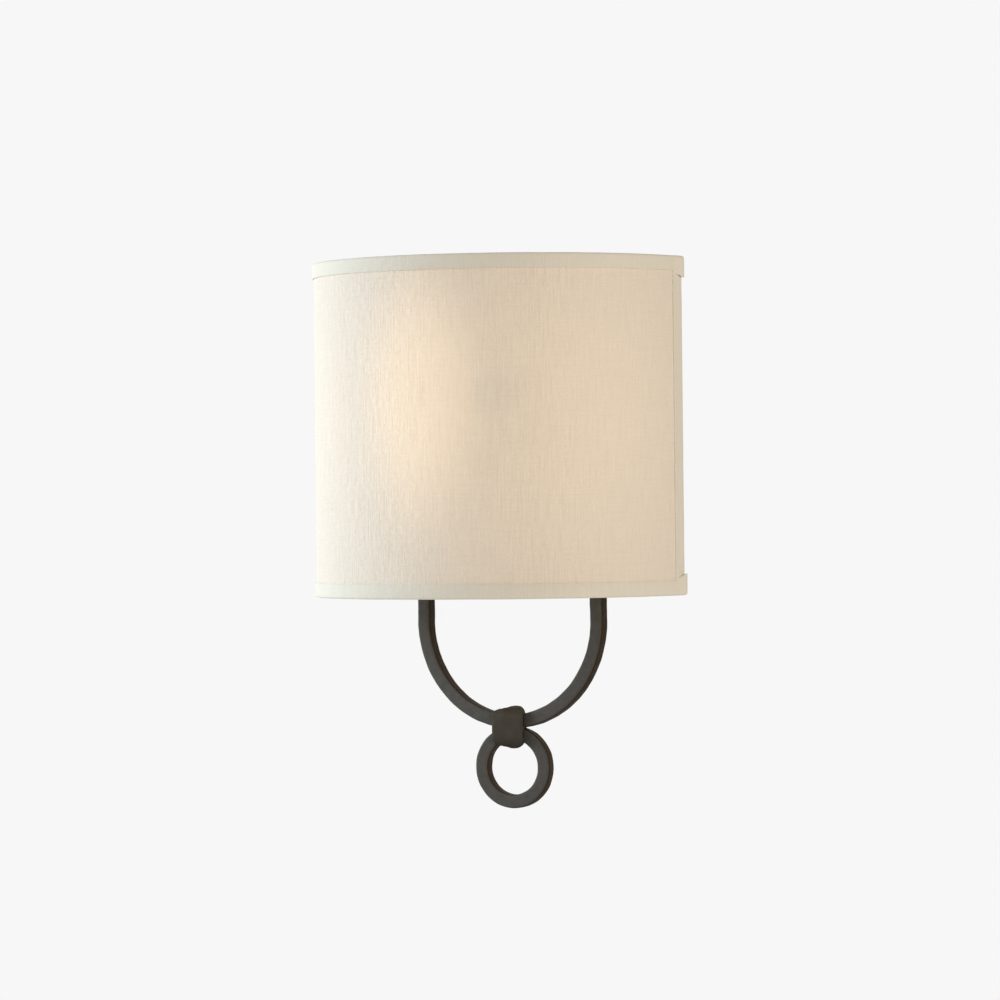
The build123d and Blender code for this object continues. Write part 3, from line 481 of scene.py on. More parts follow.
# %% Hanger
hanger_low, hanger_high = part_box("hanger_bar")
cad_bar = hanger_high.y - hanger_low.y
bar = cad_bar + 0.3 * MM
bar_across = cad_bar + 1.1 * MM  # the blows spread the bar a little
iron_ease = 1.3 * MM
iron_y = (hanger_low.y + hanger_high.y) / 2
bend_radius = (hanger_high.x - hanger_low.x - cad_bar) / 2
leg_top = hanger_high.z
bend_drop = 1.1 * MM  # the bend sags a little below the CAD's
bend_z = hanger_low.z + bend_radius + cad_bar / 2 - bend_drop
leg_steps = 64
bend_steps = 110
section = bar_section(bar_across, bar, iron_ease)
top_loop = [(-bend_radius + across, iron_y + out, leg_top) for across, out in section]
hanger_iron = row("hanger_iron", top_loop, closed=True)
fresh(hanger_iron, "EDIT")
leg_step = (leg_top - bend_z) / leg_steps
for i in range(leg_steps):
    bpy.ops.mesh.extrude_edges_move(TRANSFORM_OT_translate={"value": (0, 0, -leg_step)})
bpy.ops.mesh.spin(steps=bend_steps, angle=pi, center=(0, iron_y, bend_z), axis=(0, 1, 0))
for i in range(leg_steps):
    bpy.ops.mesh.extrude_edges_move(TRANSFORM_OT_translate={"value": (0, 0, leg_step)})
bpy.ops.mesh.select_all(action="SELECT")
bpy.ops.mesh.remove_doubles(threshold=weld)
bpy.ops.mesh.fill_holes(sides=0)
bpy.ops.mesh.normals_make_consistent(inside=False)
bpy.ops.object.mode_set(mode="OBJECT")
measured(hanger_iron)
modify(hanger_iron, "SUBSURF", levels=1, render_levels=1)
hammer(hanger_iron, 0.24 * MM)
smooth(hanger_iron, 60)
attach(hanger_iron, "fixture")
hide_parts("hanger_bar")
measured(hanger_iron)

# %% [markdown]
# ## Ring
#
# The ring is the same square bar bent into a hoop and closed by forge welding, so it has no visible
# joint. The rounded square is spun a full turn about the ring's own axis, its seam is merged, and
# the same hammer marks go on, a little shallower because the curve is tighter.

# %% Ring
ring_low, ring_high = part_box("ring")
ring_z = (ring_low.z + ring_high.z) / 2
ring_bar = 8.7 * MM
ring_less = 0.5 * MM
ring_steps = 84
ring_mean = (ring_high.x - ring_low.x - ring_less - ring_bar) / 2
ring_x = 1.3 * MM  # it hangs a little to the right of the bend's lowest point
ring_middle = (ring_x, iron_y, ring_z)
ring_loop = [
    (ring_x + ring_mean + across, iron_y + out, ring_z)
    for across, out in bar_section(ring_bar, bar, iron_ease)
]
ring_iron = row("ring_iron", ring_loop, closed=True)
spin(ring_iron, ring_middle, (0, 1, 0), 2 * pi, ring_steps)
ring_turn = radians(-5)  # it doesn't hang quite flat to the wall
fresh(ring_iron, "EDIT")
bpy.ops.transform.rotate(value=ring_turn, orient_axis="Z", center_override=ring_middle)
bpy.ops.object.mode_set(mode="OBJECT")
modify(ring_iron, "SUBSURF", levels=1, render_levels=1)
hammer(ring_iron, 0.22 * MM)
smooth(ring_iron, 60)
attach(ring_iron, "fixture")
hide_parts("ring")
measured(ring_iron)

# %% [markdown]
# ## Collar
#
# The collar is a short strap, forged hot round both bars until it gripped them. Seen from the side
# it is almost round at the top and the bottom, and its two ends are crisp. So its side view is
# drawn as a rounded rectangle and extruded across in slices, each a little fuller towards the
# middle. The lowest part is drawn in to a tongue and the top left corner is pushed in. White shows
# right behind its front edge, so behind the front plate it is drawn in to a narrow strap.

# %% Collar
collar_low, collar_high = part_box("collar")
collar_size = collar_high - collar_low
collar_tall = collar_size.z + 1.2 * MM
collar_middle = (collar_low + collar_high) / 2 + Vector((0.9, 0, -0.6)) * MM
shoulder = 8.2 * MM
collar_slices = 12
swell = 0.035  # how much less the two ends measure than the middle


def fullness(i):
    """How full slice i is: 1 in the middle, a little less at both ends."""
    return 1 - swell * (2 * i / collar_slices - 1) ** 2


end_fullness = fullness(0)
collar_left = collar_middle.x - collar_size.x / 2
collar_loop = [
    (collar_left, collar_middle.y + out * end_fullness, collar_middle.z + up * end_fullness)
    for out, up in bar_section(collar_size.y, collar_tall, shoulder, 12, 8)
]
collar_iron = row("collar_iron", collar_loop, closed=True)
fresh(collar_iron, "EDIT")
slice_step = (collar_size.x / collar_slices, 0, 0)
for i in range(collar_slices):
    growth = fullness(i + 1) / fullness(i)
    bpy.ops.mesh.extrude_edges_move(TRANSFORM_OT_translate={"value": slice_step})
    bpy.ops.transform.resize(value=(1, growth, growth), center_override=collar_middle)
bpy.ops.mesh.select_all(action="SELECT")
bpy.ops.mesh.fill_holes(sides=0)
bpy.ops.mesh.normals_make_consistent(inside=False)


def draw_in(wanted, squeeze, centre):
    """Narrows a part of the collar towards a centre."""
    pick(collar_iron, wanted)
    bpy.ops.transform.resize(value=(squeeze, 1, 1), center_override=centre)


# Each cut: its distance from the middle, as a share of the height, and how wide the rest stays
tongue_cuts = ((0.34, 0.94), (0.41, 0.87), (0.46, 0.80))
corner_cuts = ((0.36, 0.95), (0.43, 0.90), (0.47, 0.86))
plate = 4.8 * MM  # how far back the collar keeps its full width
strap_share = 0.36  # how wide it is behind that
right_end = collar_middle + Vector((collar_size.x / 2, 0, 0))
for share, squeeze in tongue_cuts:
    tongue_z = collar_middle.z - share * collar_tall
    draw_in(lambda point: point.z < tongue_z, squeeze, collar_middle)
for share, squeeze in corner_cuts:
    shoulder_z = collar_middle.z + share * collar_tall
    draw_in(lambda point: point.z > shoulder_z, squeeze, right_end)
draw_in(lambda point: point.y > collar_low.y + plate, strap_share, collar_middle)
bpy.ops.object.mode_set(mode="OBJECT")
modify(
    collar_iron,
    "BEVEL",
    width=1.5 * MM,
    segments=3,
    limit_method="ANGLE",
    angle_limit=radians(55),
)
modify(collar_iron, "REMESH", mode="VOXEL", voxel_size=0.5 * MM)
modify(collar_iron, "SMOOTH", factor=0.5, iterations=3)
hammer(collar_iron, 0.26 * MM)
smooth(collar_iron, 60)
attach(collar_iron, "fixture")
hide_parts("collar")
measured(collar_iron)

# %% [markdown]
# ## Bulb glass
#
# A blown bulb has no corner anywhere: the neck flares into the round in one curve. The outline is
# drawn as a smooth line of points and spun about the bulb's axis, then given the glass's thickness.

# %% Bulb glass
glass_low, glass_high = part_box("bulb_glass")
lamp_y = (glass_low.y + glass_high.y) / 2
glass_radius = (glass_high.x - glass_low.x) / 2
glass_z = glass_high.z - glass_radius
neck_radius = 12.5 * MM
neck_straight = 7 * MM
neck_join = -35  # degrees below the round's widest place
round_step = 5
flare_steps = 14
flare_pull = 0.42  # how far the curve follows each end's direction, as a share of its span
glass_wall = 0.7 * MM
pole_gap = 0.01 * MM


def on_round(angle):
    """A point of the round's outline, at an angle in degrees."""
    return (
        glass_radius * cos(radians(angle)),
        glass_z + glass_radius * sin(radians(angle)),
    )


outline = [(neck_radius, glass_low.z), (neck_radius, glass_low.z + neck_straight)]
start = Vector(outline[-1])
end = Vector(on_round(neck_join))
reach = (end - start).length * flare_pull
lead_in = start + Vector((0, reach))
lead_out = end - Vector((-sin(radians(neck_join)), cos(radians(neck_join)))) * reach
for i in range(1, flare_steps + 1):
    t = i / flare_steps
    point = start * (1 - t) ** 3 + lead_in * 3 * t * (1 - t) ** 2
    point += lead_out * 3 * t * t * (1 - t) + end * t**3
    outline.append(tuple(point))
for angle in range(neck_join + round_step, 90, round_step):
    outline.append(on_round(angle))
outline.append((pole_gap, glass_z + glass_radius))
bulb_round = row("bulb_round", [(x, lamp_y, z) for x, z in outline])
spin(bulb_round, (0, lamp_y, 0), (0, 0, 1), 2 * pi, 64)
fresh(bulb_round, "EDIT")
bpy.ops.mesh.remove_doubles(threshold=10 * weld)  # closes the pole
bpy.ops.mesh.normals_make_consistent(inside=False)
modify(bulb_round, "SOLIDIFY", thickness=glass_wall, offset=-1)
smooth(bulb_round, 60)
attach(bulb_round, "bulb")
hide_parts("bulb_glass")
measured(bulb_round)

# %% [markdown]
# ## Material helpers
#
# A material is a small tree of nodes. These helpers place a node with its settings, join sockets,
# and wrap an effect that several finishes share in a group with named inputs and outputs.

# %% Material helpers
def place(tree, kind, **values):
    """A node. Values named after a socket go to it, the others are the node's settings."""
    node = tree.nodes.new(kind)
    for key, value in values.items():
        label = key.replace("_", " ")
        if key[0].isupper() and label in node.inputs:
            if isinstance(value, bpy.types.NodeSocket):
                tree.links.new(value, node.inputs[label])
            else:
                node.inputs[label].default_value = value
        else:
            setattr(node, key, value)
    return node


def math(tree, operation, *values, clamp=False):
    """The result of one sum on sockets or numbers."""
    node = tree.nodes.new("ShaderNodeMath")
    node.operation = operation
    node.use_clamp = clamp
    for socket, value in zip(node.inputs, values):
        if isinstance(value, bpy.types.NodeSocket):
            tree.links.new(value, socket)
        else:
            socket.default_value = value
    return node.outputs[0]


def blend_colour(tree, share, first, second, how="MIX"):
    """Two colours mixed by a share."""
    node = tree.nodes.new("ShaderNodeMix")
    node.data_type = "RGBA"
    node.blend_type = how
    for index, value in ((0, share), (6, first), (7, second)):
        socket = node.inputs[index]
        if isinstance(value, bpy.types.NodeSocket):
            tree.links.new(value, socket)
        elif isinstance(value, (int, float)):
            socket.default_value = value
        else:
            socket.default_value = (*value, 1)
    return node.outputs[2]


def group(name, inputs, outputs):
    """An empty effect with its sockets: (name, kind, start value)."""
    tree = bpy.data.node_groups.new(name, "ShaderNodeTree")
    for label, kind, start in inputs:
        socket = tree.interface.new_socket(name=label, in_out="INPUT", socket_type=kind)
        if start is not None:
            socket.default_value = start
    for label, kind in outputs:
        tree.interface.new_socket(name=label, in_out="OUTPUT", socket_type=kind)
    return tree, tree.nodes.new("NodeGroupInput").outputs, tree.nodes.new("NodeGroupOutput").inputs


def use(tree, effect, **values):
    """The group placed in a material, with its own values."""
    node = tree.nodes.new("ShaderNodeGroup")
    node.node_tree = effect
    for key, value in values.items():
        socket = node.inputs[key.replace("_", " ")]
        if isinstance(value, bpy.types.NodeSocket):
            tree.links.new(value, socket)
        elif isinstance(value, tuple) and len(value) == 3:
            socket.default_value = (*value, 1)
        else:
            socket.default_value = value
    return node.outputs


def material(name):
    """A new material: its tree, its shader and the object coordinates."""
    made = bpy.data.materials.new(name)
    made.use_nodes = True
    tree = made.node_tree
    shader = tree.nodes["Principled BSDF"]
    where = tree.nodes.new("ShaderNodeTexCoord").outputs
    return made, tree, shader, where


def plain(shader, **values):
    """Values that are the same all over, set on the shader's own sockets."""
    for key, value in values.items():
        shader.inputs[key.replace("_", " ")].default_value = value


def raised(tree, shader, height, distance):
    """A Bump node from a height into the shader's normal."""
    bump = place(tree, "ShaderNodeBump", Height=height, Distance=distance, Strength=1.0)
    tree.links.new(bump.outputs[0], shader.inputs["Normal"])


def dress(piece, made):
    """The piece's only material."""
    piece.data.materials.clear()
    piece.data.materials.append(made)


COLOUR, VALUE, VECTOR = "NodeSocketColor", "NodeSocketFloat", "NodeSocketVector"

# %% [markdown]
# ## Weave
#
# Linen is a plain weave of uneven yarn. Thick places in a yarn, called slubs, run along it for a
# centimetre or two, and they are what the eye reads as linen from across a room. The group lays two
# sets of threads over the cloth's own UV map in metres, then stretches noise along each direction
# for the slubs. It gives a height, a shade for the colour, and the slubs on their own.

# %% Weave group
yarn_pitch = 0.00055
yarn_sway = 0.0012  # how far a yarn strays from its line
slub_thick = 0.0011
upright_long = 0.024
level_long = 0.030
weave, weave_in, weave_out = group(
    "weave",
    [("Place", VECTOR, None), ("Pitch", VALUE, yarn_pitch), ("Slub", VALUE, 1.0)],
    [("Height", VALUE), ("Shade", VALUE), ("Slubs", VALUE)],
)


def streaks(tree, where, along, across):
    """Noise stretched by its two sizes in metres: along u, and across v."""
    turned = place(tree, "ShaderNodeMapping", Vector=where)
    turned.inputs["Scale"].default_value = (1 / along, 1 / across, 1)
    noise = place(tree, "ShaderNodeTexNoise", Vector=turned.outputs[0], Scale=1.0)
    noise.inputs["Detail"].default_value = 3.0
    noise.inputs["Roughness"].default_value = 0.6
    return noise.outputs[0]


def slub(yarn):
    """A yarn's noise about 0, times the group's own strength."""
    return math(weave, "MULTIPLY", math(weave, "SUBTRACT", yarn, 0.5), weave_in["Slub"])


bent = place(weave, "ShaderNodeTexNoise", Vector=weave_in[0], Scale=55.0, Detail=2.0)
shifted = place(weave, "ShaderNodeVectorMath", operation="MULTIPLY_ADD")
weave.links.new(bent.outputs[1], shifted.inputs[0])
shifted.inputs[1].default_value = (yarn_sway, yarn_sway, 0)
weave.links.new(weave_in[0], shifted.inputs[2])
parted = place(weave, "ShaderNodeSeparateXYZ", Vector=shifted.outputs[0])
turns = math(weave, "DIVIDE", pi, weave_in["Pitch"])
warp = math(weave, "SINE", math(weave, "MULTIPLY", parted.outputs[0], turns))
weft = math(weave, "SINE", math(weave, "MULTIPLY", parted.outputs[1], turns))
over = math(weave, "MULTIPLY", warp, weft)
threads = math(weave, "MULTIPLY_ADD", over, 0.5, 0.5)
upright = slub(streaks(weave, weave_in[0], slub_thick, upright_long))
level = slub(streaks(weave, weave_in[0], level_long, slub_thick))
upright_share, level_share = 1.5, 0.7  # the upright slubs show more
slubs = math(
    weave,
    "ADD",
    math(weave, "MULTIPLY", upright, upright_share),
    math(weave, "MULTIPLY", level, level_share),
)
crinkle = place(weave, "ShaderNodeTexNoise", Vector=weave_in["Place"], Scale=230.0, Detail=2.0)
relief = math(weave, "MULTIPLY_ADD", threads, 0.3, slubs)
weave.links.new(math(weave, "MULTIPLY_ADD", crinkle.outputs[0], 2.2, relief), weave_out["Height"])
weave.links.new(math(weave, "MULTIPLY_ADD", slubs, 0.9, 0.5), weave_out["Shade"])
weave.links.new(slubs, weave_out["Slubs"])
print("weave group", len(weave.nodes), "nodes")

# %% [markdown]
# ## Linen, lit from behind
#
# The lamp shines through the shade, so the cloth is both lit and glowing. A share of light let
# through would need many samples to look calm, so the glow is painted as emission, in the same
# object coordinates as the bulb itself: almost even, a little weaker at the rims, with one warmer
# place in front of the bulb and a small greyer one to its right. The slubs vary what comes through.

# %% Linen material
lamp_at = (0.0, -0.072, 0.058)


def near_to(tree, where, centre, near, far, squash=(1, 1, 1)):
    """A share that is 1 within the near distance of a point and falls to 0 at the far one."""
    centred = place(tree, "ShaderNodeMapping", Vector=where)
    centred.inputs["Location"].default_value = [-c * s for c, s in zip(centre, squash)]
    centred.inputs["Scale"].default_value = squash
    length = place(tree, "ShaderNodeVectorMath", operation="LENGTH")
    tree.links.new(centred.outputs[0], length.inputs[0])
    fall = place(tree, "ShaderNodeMapRange", interpolation_type="SMOOTHSTEP")
    fall.inputs["From Min"].default_value = near
    fall.inputs["From Max"].default_value = far
    fall.inputs["To Min"].default_value = 1.0
    fall.inputs["To Max"].default_value = 0.0
    tree.links.new(length.outputs["Value"], fall.inputs["Value"])
    return fall.outputs[0]


def woven_cloth(name, slub_strength, dark, light, bump):
    """Linen without its glow: the weave's tint and height over the cloth's own UV map."""
    made, tree, shader, where = material(name)
    cloth_map = place(tree, "ShaderNodeUVMap", uv_map="cloth").outputs[0]
    woven = use(tree, weave, Place=cloth_map, Pitch=yarn_pitch, Slub=slub_strength)
    share = math(tree, "MULTIPLY_ADD", woven["Shade"], 1.6, -0.3, clamp=True)
    tree.links.new(blend_colour(tree, share, dark, light), shader.inputs["Base Color"])
    plain(shader, Roughness=0.85, Specular_IOR_Level=0.25)
    raised(tree, shader, woven["Height"], bump)
    return made, tree, shader, where, woven


linen, tree, shader, where, woven = woven_cloth(
    "linen", 1.0, (0.755, 0.71, 0.64), (0.81, 0.765, 0.69), 0.00028
)
even_at = (0.043, -0.128, 0.045)
warm_at = (0.0066, -0.1353, 0.057)
grey_at = (0.056, -0.1225, 0.0589)
rim_glow = (0.050, 0.025, 0.005)
even_glow = (0.135, 0.085, 0.035)
warm_glow = (0.172, 0.112, 0.055)
even = near_to(tree, where["Object"], even_at, 0.04, 0.15, (0.75, 0.75, 1))
warm = near_to(tree, where["Object"], warm_at, 0.010, 0.056, (1, 1, 0.52))
grey = near_to(tree, where["Object"], grey_at, 0.005, 0.020)
glow = blend_colour(tree, even, rim_glow, even_glow)
glow = blend_colour(tree, 1.0, glow, blend_colour(tree, warm, (0, 0, 0), warm_glow), "ADD")
let_through = math(tree, "MULTIPLY_ADD", woven["Slubs"], 0.35, 1.0)
let_through = math(tree, "MULTIPLY_ADD", grey, -0.25, let_through)
glow = blend_colour(tree, 1.0, glow, let_through, "MULTIPLY")
tree.links.new(glow, shader.inputs["Emission Color"])
plain(shader, Emission_Strength=1.0)
dress(shade_cloth, linen)

# %% Tape material
tape_linen, *_ = woven_cloth("linen_trim", 0.9, (0.77, 0.74, 0.65), (0.82, 0.79, 0.70), 0.00016)
for piece in (*rim_tapes.values(), *side_tapes.values()):
    dress(piece, tape_linen)

# %% [markdown]
# ## Forged iron
#
# The iron is dark bronze: an oiled black scale, rubbed through to a warmer brown on high places and
# dusty in the hollows. Pointiness isn't exported, so the wear follows noise at two sizes instead.
# Where the iron faces the room a paler grey is painted on, a painted sheen from the light in front;
# its sides keep the darker warm brown, partly painted shade. So the finish mixes two pairs of
# colours by the surface's own direction. A fine grain breaks the highlights up.

# %% Worn metal group
worn, worn_in, worn_out = group(
    "worn_metal",
    [
        ("Place", VECTOR, None),
        ("Main", COLOUR, (0.1, 0.1, 0.1, 1)),
        ("Rubbed", COLOUR, (0.2, 0.2, 0.2, 1)),
        ("Size", VALUE, 0.01),
        ("Wear", VALUE, 0.5),
        ("Dull", VALUE, 0.5),
        ("Fleck", VALUE, 0.5),
    ],
    [("Colour", COLOUR), ("Roughness", VALUE), ("Height", VALUE)],
)
broad = place(worn, "ShaderNodeTexNoise", Vector=worn_in["Place"], Detail=5.0, Roughness=0.6)
worn.links.new(math(worn, "DIVIDE", 1.0, worn_in["Size"]), broad.inputs["Scale"])
grain = place(worn, "ShaderNodeTexNoise", Vector=worn_in["Place"], Detail=3.0, Roughness=0.7)
worn.links.new(math(worn, "DIVIDE", 9.0, worn_in["Size"]), grain.inputs["Scale"])
patch = math(worn, "MULTIPLY_ADD", broad.outputs[0], 3.2, -1.1, clamp=True)
rub = math(worn, "MULTIPLY", patch, worn_in["Wear"], clamp=True)
speck = math(worn, "MULTIPLY_ADD", grain.outputs[0], 1.6, -0.3, clamp=True)
coloured = blend_colour(worn, rub, worn_in["Main"], worn_in["Rubbed"])
lift = math(worn, "MULTIPLY_ADD", worn_in["Fleck"], -0.5, 1.0)
darker = math(worn, "MULTIPLY_ADD", speck, worn_in["Fleck"], lift)
worn.links.new(blend_colour(worn, 1.0, coloured, darker, "MULTIPLY"), worn_out["Colour"])
uneven = math(worn, "MULTIPLY_ADD", speck, 0.22, -0.11)
worn.links.new(math(worn, "ADD", worn_in["Dull"], uneven, clamp=True), worn_out["Roughness"])
height = math(worn, "MULTIPLY_ADD", grain.outputs[0], 0.6, broad.outputs[0])
worn.links.new(height, worn_out["Height"])


def worn_finish(name, main, rubbed, size, wear, dull, metallic, bump, painted_front_sheen=None, *, fleck):
    """A finish from the worn metal group. A front colour, a painted sheen, shows where it faces the
    room.
    """
    made, tree, shader, where = material(name)
    if painted_front_sheen:
        # painted sheen: faces turned to the room get the paler front colour, and the sides keep the
        # darker colour as painted shade
        turned = place(tree, "ShaderNodeSeparateXYZ", Vector=where["Normal"])
        painted_sheen_share = math(tree, "MULTIPLY_ADD", turned.outputs[1], -2.2, -0.9, clamp=True)
        main = blend_colour(tree, painted_sheen_share, main, painted_front_sheen)
        rubbed = blend_colour(tree, painted_sheen_share, rubbed, [1.25 * part for part in painted_front_sheen])
        plain(shader, Specular_IOR_Level=0.09)
    numbers = {"Size": size, "Wear": wear, "Dull": dull, "Fleck": fleck}
    parts = use(tree, worn, Place=where["Object"], Main=main, Rubbed=rubbed, **numbers)
    tree.links.new(parts["Colour"], shader.inputs["Base Color"])
    tree.links.new(parts["Roughness"], shader.inputs["Roughness"])
    plain(shader, Metallic=metallic)
    raised(tree, shader, parts["Height"], bump)
    return made


# %% Finishes from the worn metal group
finishes = {
    # slot: main colour, rubbed colour, patch size, wear, roughness, metallic, bump, front colour
    # (painted sheen)
    "forged_iron": (
        *((0.022, 0.012, 0.003), (0.034, 0.020, 0.007), 0.006, 0.6, 0.55, 0.0, 0.00012),
        (0.071, 0.070, 0.065),
    ),
    "collar_iron": (
        *((0.026, 0.017, 0.007), (0.036, 0.025, 0.013), 0.006, 0.6, 0.55, 0.0, 0.00015),
        (0.043, 0.037, 0.028),
    ),
    "pan_bronze": ((0.11, 0.095, 0.08), (0.15, 0.13, 0.11), 0.02, 0.5, 0.45, 0.4, 0.00005),
    "zinc_steel": ((0.60, 0.60, 0.57), (0.70, 0.70, 0.66), 0.008, 0.6, 0.36, 1.0, 0.00002),
    "ground_green": ((0.09, 0.34, 0.15), (0.14, 0.42, 0.20), 0.004, 0.5, 0.42, 0.5, 0.00002),
    "aged_brass": ((0.30, 0.22, 0.12), (0.48, 0.37, 0.20), 0.007, 0.8, 0.38, 0.9, 0.00003),
    "brass": ((0.72, 0.55, 0.26), (0.80, 0.64, 0.34), 0.006, 0.5, 0.28, 1.0, 0.00002),
    "tinned": ((0.68, 0.68, 0.66), (0.76, 0.76, 0.74), 0.004, 0.5, 0.34, 1.0, 0.00002),
    "bulb_metal": ((0.70, 0.70, 0.69), (0.80, 0.80, 0.79), 0.006, 0.5, 0.30, 1.0, 0.00002),
    "phenolic": ((0.045, 0.038, 0.034), (0.07, 0.06, 0.054), 0.01, 0.5, 0.33, 0.0, 0.00002),
    "fibre": ((0.50, 0.39, 0.26), (0.60, 0.48, 0.33), 0.003, 0.9, 0.8, 0.0, 0.00006),
    "lead_white": ((0.80, 0.79, 0.74), (0.88, 0.87, 0.83), 0.006, 0.5, 0.5, 0.0, 0.00001),
    "lead_black": ((0.035, 0.035, 0.035), (0.06, 0.06, 0.06), 0.006, 0.5, 0.45, 0.0, 0.00001),
    "lead_green": ((0.08, 0.33, 0.14), (0.12, 0.42, 0.19), 0.006, 0.5, 0.5, 0.0, 0.00001),
    "connector": ((0.74, 0.31, 0.06), (0.82, 0.38, 0.10), 0.006, 0.5, 0.5, 0.0, 0.00003),
    "liner": ((0.86, 0.83, 0.77), (0.93, 0.91, 0.86), 0.03, 0.8, 0.6, 0.0, 0.00003),
    "white_wire": ((0.80, 0.79, 0.75), (0.88, 0.87, 0.84), 0.008, 0.6, 0.45, 0.0, 0.00004),
}
plain_fleck = 0.5
flecks = {  # how much darker the grain's dark specks are, on the pale and moulded pieces
    "phenolic": 0.2,
    "fibre": 0.3,
    "lead_white": 0.1,
    "lead_black": 0.2,
    "lead_green": 0.1,
    "connector": 0.12,
    "liner": 0.05,
    "white_wire": 0.1,
}
made_finishes = {
    name: worn_finish(name, *values, fleck=flecks.get(name, plain_fleck))
    for name, values in finishes.items()
}
for piece in (hanger_iron, ring_iron):
    dress(piece, made_finishes["forged_iron"])
dress(collar_iron, made_finishes["collar_iron"])
print("finishes", len(made_finishes))

# %% [markdown]
# ## Liner, glass and filament
#
# The liner catches most of the lamp's light, so it has the same painted glow as the linen, only
# stronger. The glass is frosted: light from the filament fills it evenly, and it shows as a soft
# white body. The stem is clear glass, and the filament is a glowing wire.

# %% Lit materials
liner_tree = made_finishes["liner"].node_tree
liner_shader = liner_tree.nodes["Principled BSDF"]
liner_where = [n for n in liner_tree.nodes if n.bl_idname == "ShaderNodeTexCoord"][0].outputs
liner_share = near_to(liner_tree, liner_where["Object"], lamp_at, 0.045, 0.125, (0.45, 0.45, 1))
liner_glow = blend_colour(liner_tree, liner_share, (0.10, 0.065, 0.03), (0.30, 0.21, 0.11))
liner_tree.links.new(liner_glow, liner_shader.inputs["Emission Color"])
plain(liner_shader, Emission_Strength=1.0)

frosted, tree, shader, where = material("bulb_glass")
cloud = place(tree, "ShaderNodeTexNoise", Vector=where["Object"], Scale=90.0, Detail=3.0)
milk = blend_colour(tree, cloud.outputs[0], (0.90, 0.87, 0.80), (0.96, 0.94, 0.89))
tree.links.new(milk, shader.inputs["Base Color"])
bulb_share = near_to(tree, where["Object"], lamp_at, 0.012, 0.06, (0.45, 0.45, 1))
bulb_glow = blend_colour(tree, bulb_share, (0.42, 0.33, 0.22), (0.95, 0.83, 0.62))
tree.links.new(bulb_glow, shader.inputs["Emission Color"])
plain(shader, Roughness=0.35, Emission_Strength=0.9)
dress(bulb_round, frosted)

clear, tree, shader, where = material("clear_glass")
drop = place(tree, "ShaderNodeTexNoise", Vector=where["Object"], Scale=160.0)
melt = blend_colour(tree, drop.outputs[0], (0.86, 0.90, 0.90), (0.95, 0.97, 0.97))
tree.links.new(melt, shader.inputs["Base Color"])
plain(shader, Roughness=0.05, Transmission_Weight=0.9)

hot, tree, shader, where = material("filament")
wound = place(tree, "ShaderNodeTexWave", Vector=where["Object"], Scale=600.0)
heat = blend_colour(tree, wound.outputs[1], (1.0, 0.66, 0.30), (1.0, 0.86, 0.58))
tree.links.new(heat, shader.inputs["Emission Color"])
plain(shader, Emission_Strength=2.0, Base_Color=(0.4, 0.35, 0.3, 1))
made_finishes.update({"bulb_glass": frosted, "clear_glass": clear, "filament": hot})
made_finishes.update({"linen": linen, "linen_trim": tape_linen})

# %% Dress every CAD node by its slot
for row_of in frame["record"]["subparts"]:
    node = frame["nodes"][row_of["node"]]
    dress(node, made_finishes[row_of["material_slot"]])

# %% [markdown]
# ## Floor, background and lights
#
# The floor is a pale disc below the light that fades out at its edge. The white all round is the
# world's colour, shown only to the camera and to mirror and glass rays. The light on the object
# comes from a large cool softbox at the left, a smaller warm one at the right, a weak fill in
# front, the world's own soft light, and a small warm lamp at the bulb.

# %% Floor
floor_z = -0.52
floor_radius = 1.3
floor_y = -0.1
fade_start = 0.45
fade_end = floor_radius * 0.98
fresh()
bpy.ops.mesh.primitive_circle_add(
    vertices=96,
    radius=floor_radius,
    fill_type="NGON",
    location=(0, floor_y, floor_z),
)
floor = named("floor")
floor_paint, tree, shader, where = material("floor")
plain(shader, Base_Color=(0.88, 0.88, 0.87, 1), Roughness=0.9, Specular_IOR_Level=0.1)
from_middle = place(tree, "ShaderNodeVectorMath", operation="LENGTH")
flat_place = place(tree, "ShaderNodeMapping", Vector=where["Object"])
flat_place.inputs["Location"].default_value = (0, -floor_y, 0)
flat_place.inputs["Scale"].default_value = (1, 1, 0)
tree.links.new(flat_place.outputs[0], from_middle.inputs[0])
fade = place(tree, "ShaderNodeMapRange", interpolation_type="SMOOTHSTEP")
fade.inputs["From Min"].default_value = fade_start
fade.inputs["From Max"].default_value = fade_end
fade.inputs["To Min"].default_value = 1.0
fade.inputs["To Max"].default_value = 0.0
tree.links.new(from_middle.outputs["Value"], fade.inputs["Value"])
tree.links.new(fade.outputs[0], shader.inputs["Alpha"])
dress(floor, floor_paint)

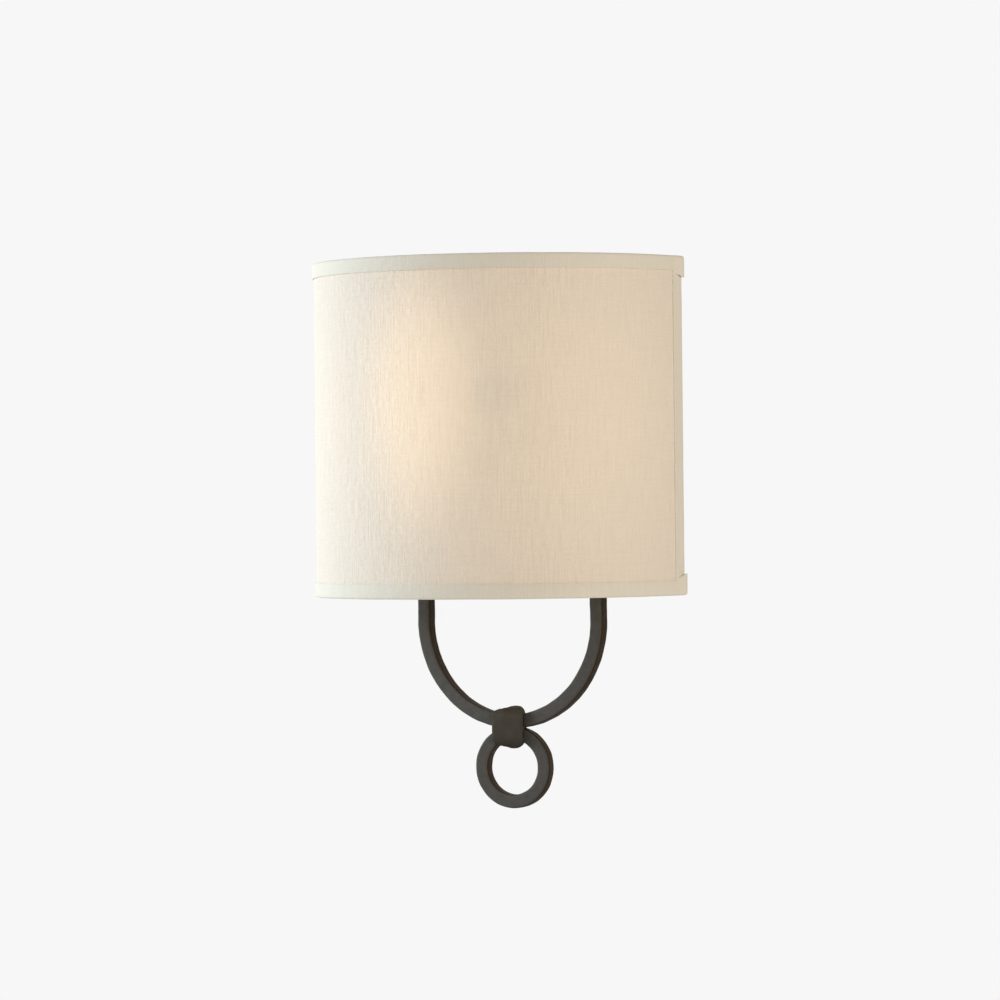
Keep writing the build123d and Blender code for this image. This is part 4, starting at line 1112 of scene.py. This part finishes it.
# %% World
world = bpy.data.worlds.new("room")
bpy.context.scene.world = world
world.use_nodes = True
tree = world.node_tree
tree.nodes.clear()
paths = tree.nodes.new("ShaderNodeLightPath").outputs
mirrored = math(tree, "MAXIMUM", paths["Is Glossy Ray"], paths["Is Transmission Ray"])
seen = math(tree, "MAXIMUM", paths["Is Camera Ray"], mirrored)
backdrop_white = 0.93
room_light = (0.30, 0.285, 0.265)
sky = blend_colour(tree, seen, room_light, (backdrop_white, backdrop_white, backdrop_white))
air = place(tree, "ShaderNodeBackground", Strength=1.0)
tree.links.new(sky, air.inputs["Color"])
tree.links.new(air.outputs[0], tree.nodes.new("ShaderNodeOutputWorld").inputs["Surface"])


# %% Lamps
def softbox(name, at, towards, size, power, colour):
    """A square area lamp that faces a point."""
    data = bpy.data.lights.new(name, "AREA")
    data.shape = "SQUARE"
    data.size = size
    data.energy = power
    data.color = colour
    lamp = bpy.data.objects.new(name, data)
    bpy.context.scene.collection.objects.link(lamp)
    aim = Vector(towards) - Vector(at)
    lamp.matrix_world = Matrix.Translation(at) @ aim.to_track_quat("-Z", "Y").to_matrix().to_4x4()


shade_middle = (0, -0.07, 0)
softbox("key", (-1.86, -0.86, 0.35), shade_middle, 1.4, 51.0, (0.77, 0.84, 0.89))
softbox("fill", (0.6, -2.2, 0.8), shade_middle, 1.2, 1.5, (1.0, 0.98, 0.95))
softbox("side", (1.9, -0.69, 0.2), shade_middle, 0.8, 18.0, (1.0, 0.86, 0.72))
bulb_lamp = bpy.data.lights.new("bulb_lamp", "POINT")
bulb_lamp.energy = 1.2
bulb_lamp.color = (1.0, 0.80, 0.55)
bulb_lamp.shadow_soft_size = 0.032
lamp = bpy.data.objects.new("bulb_lamp", bulb_lamp)
bpy.context.scene.collection.objects.link(lamp)
lamp.location = lamp_at
lamp.visible_camera = False
lamp.visible_glossy = False

# %% [markdown]
# ## Finish
#
# Standard keeps colours as written.

# %% Finish
bpy.context.scene.view_settings.view_transform = "Standard"
fresh()
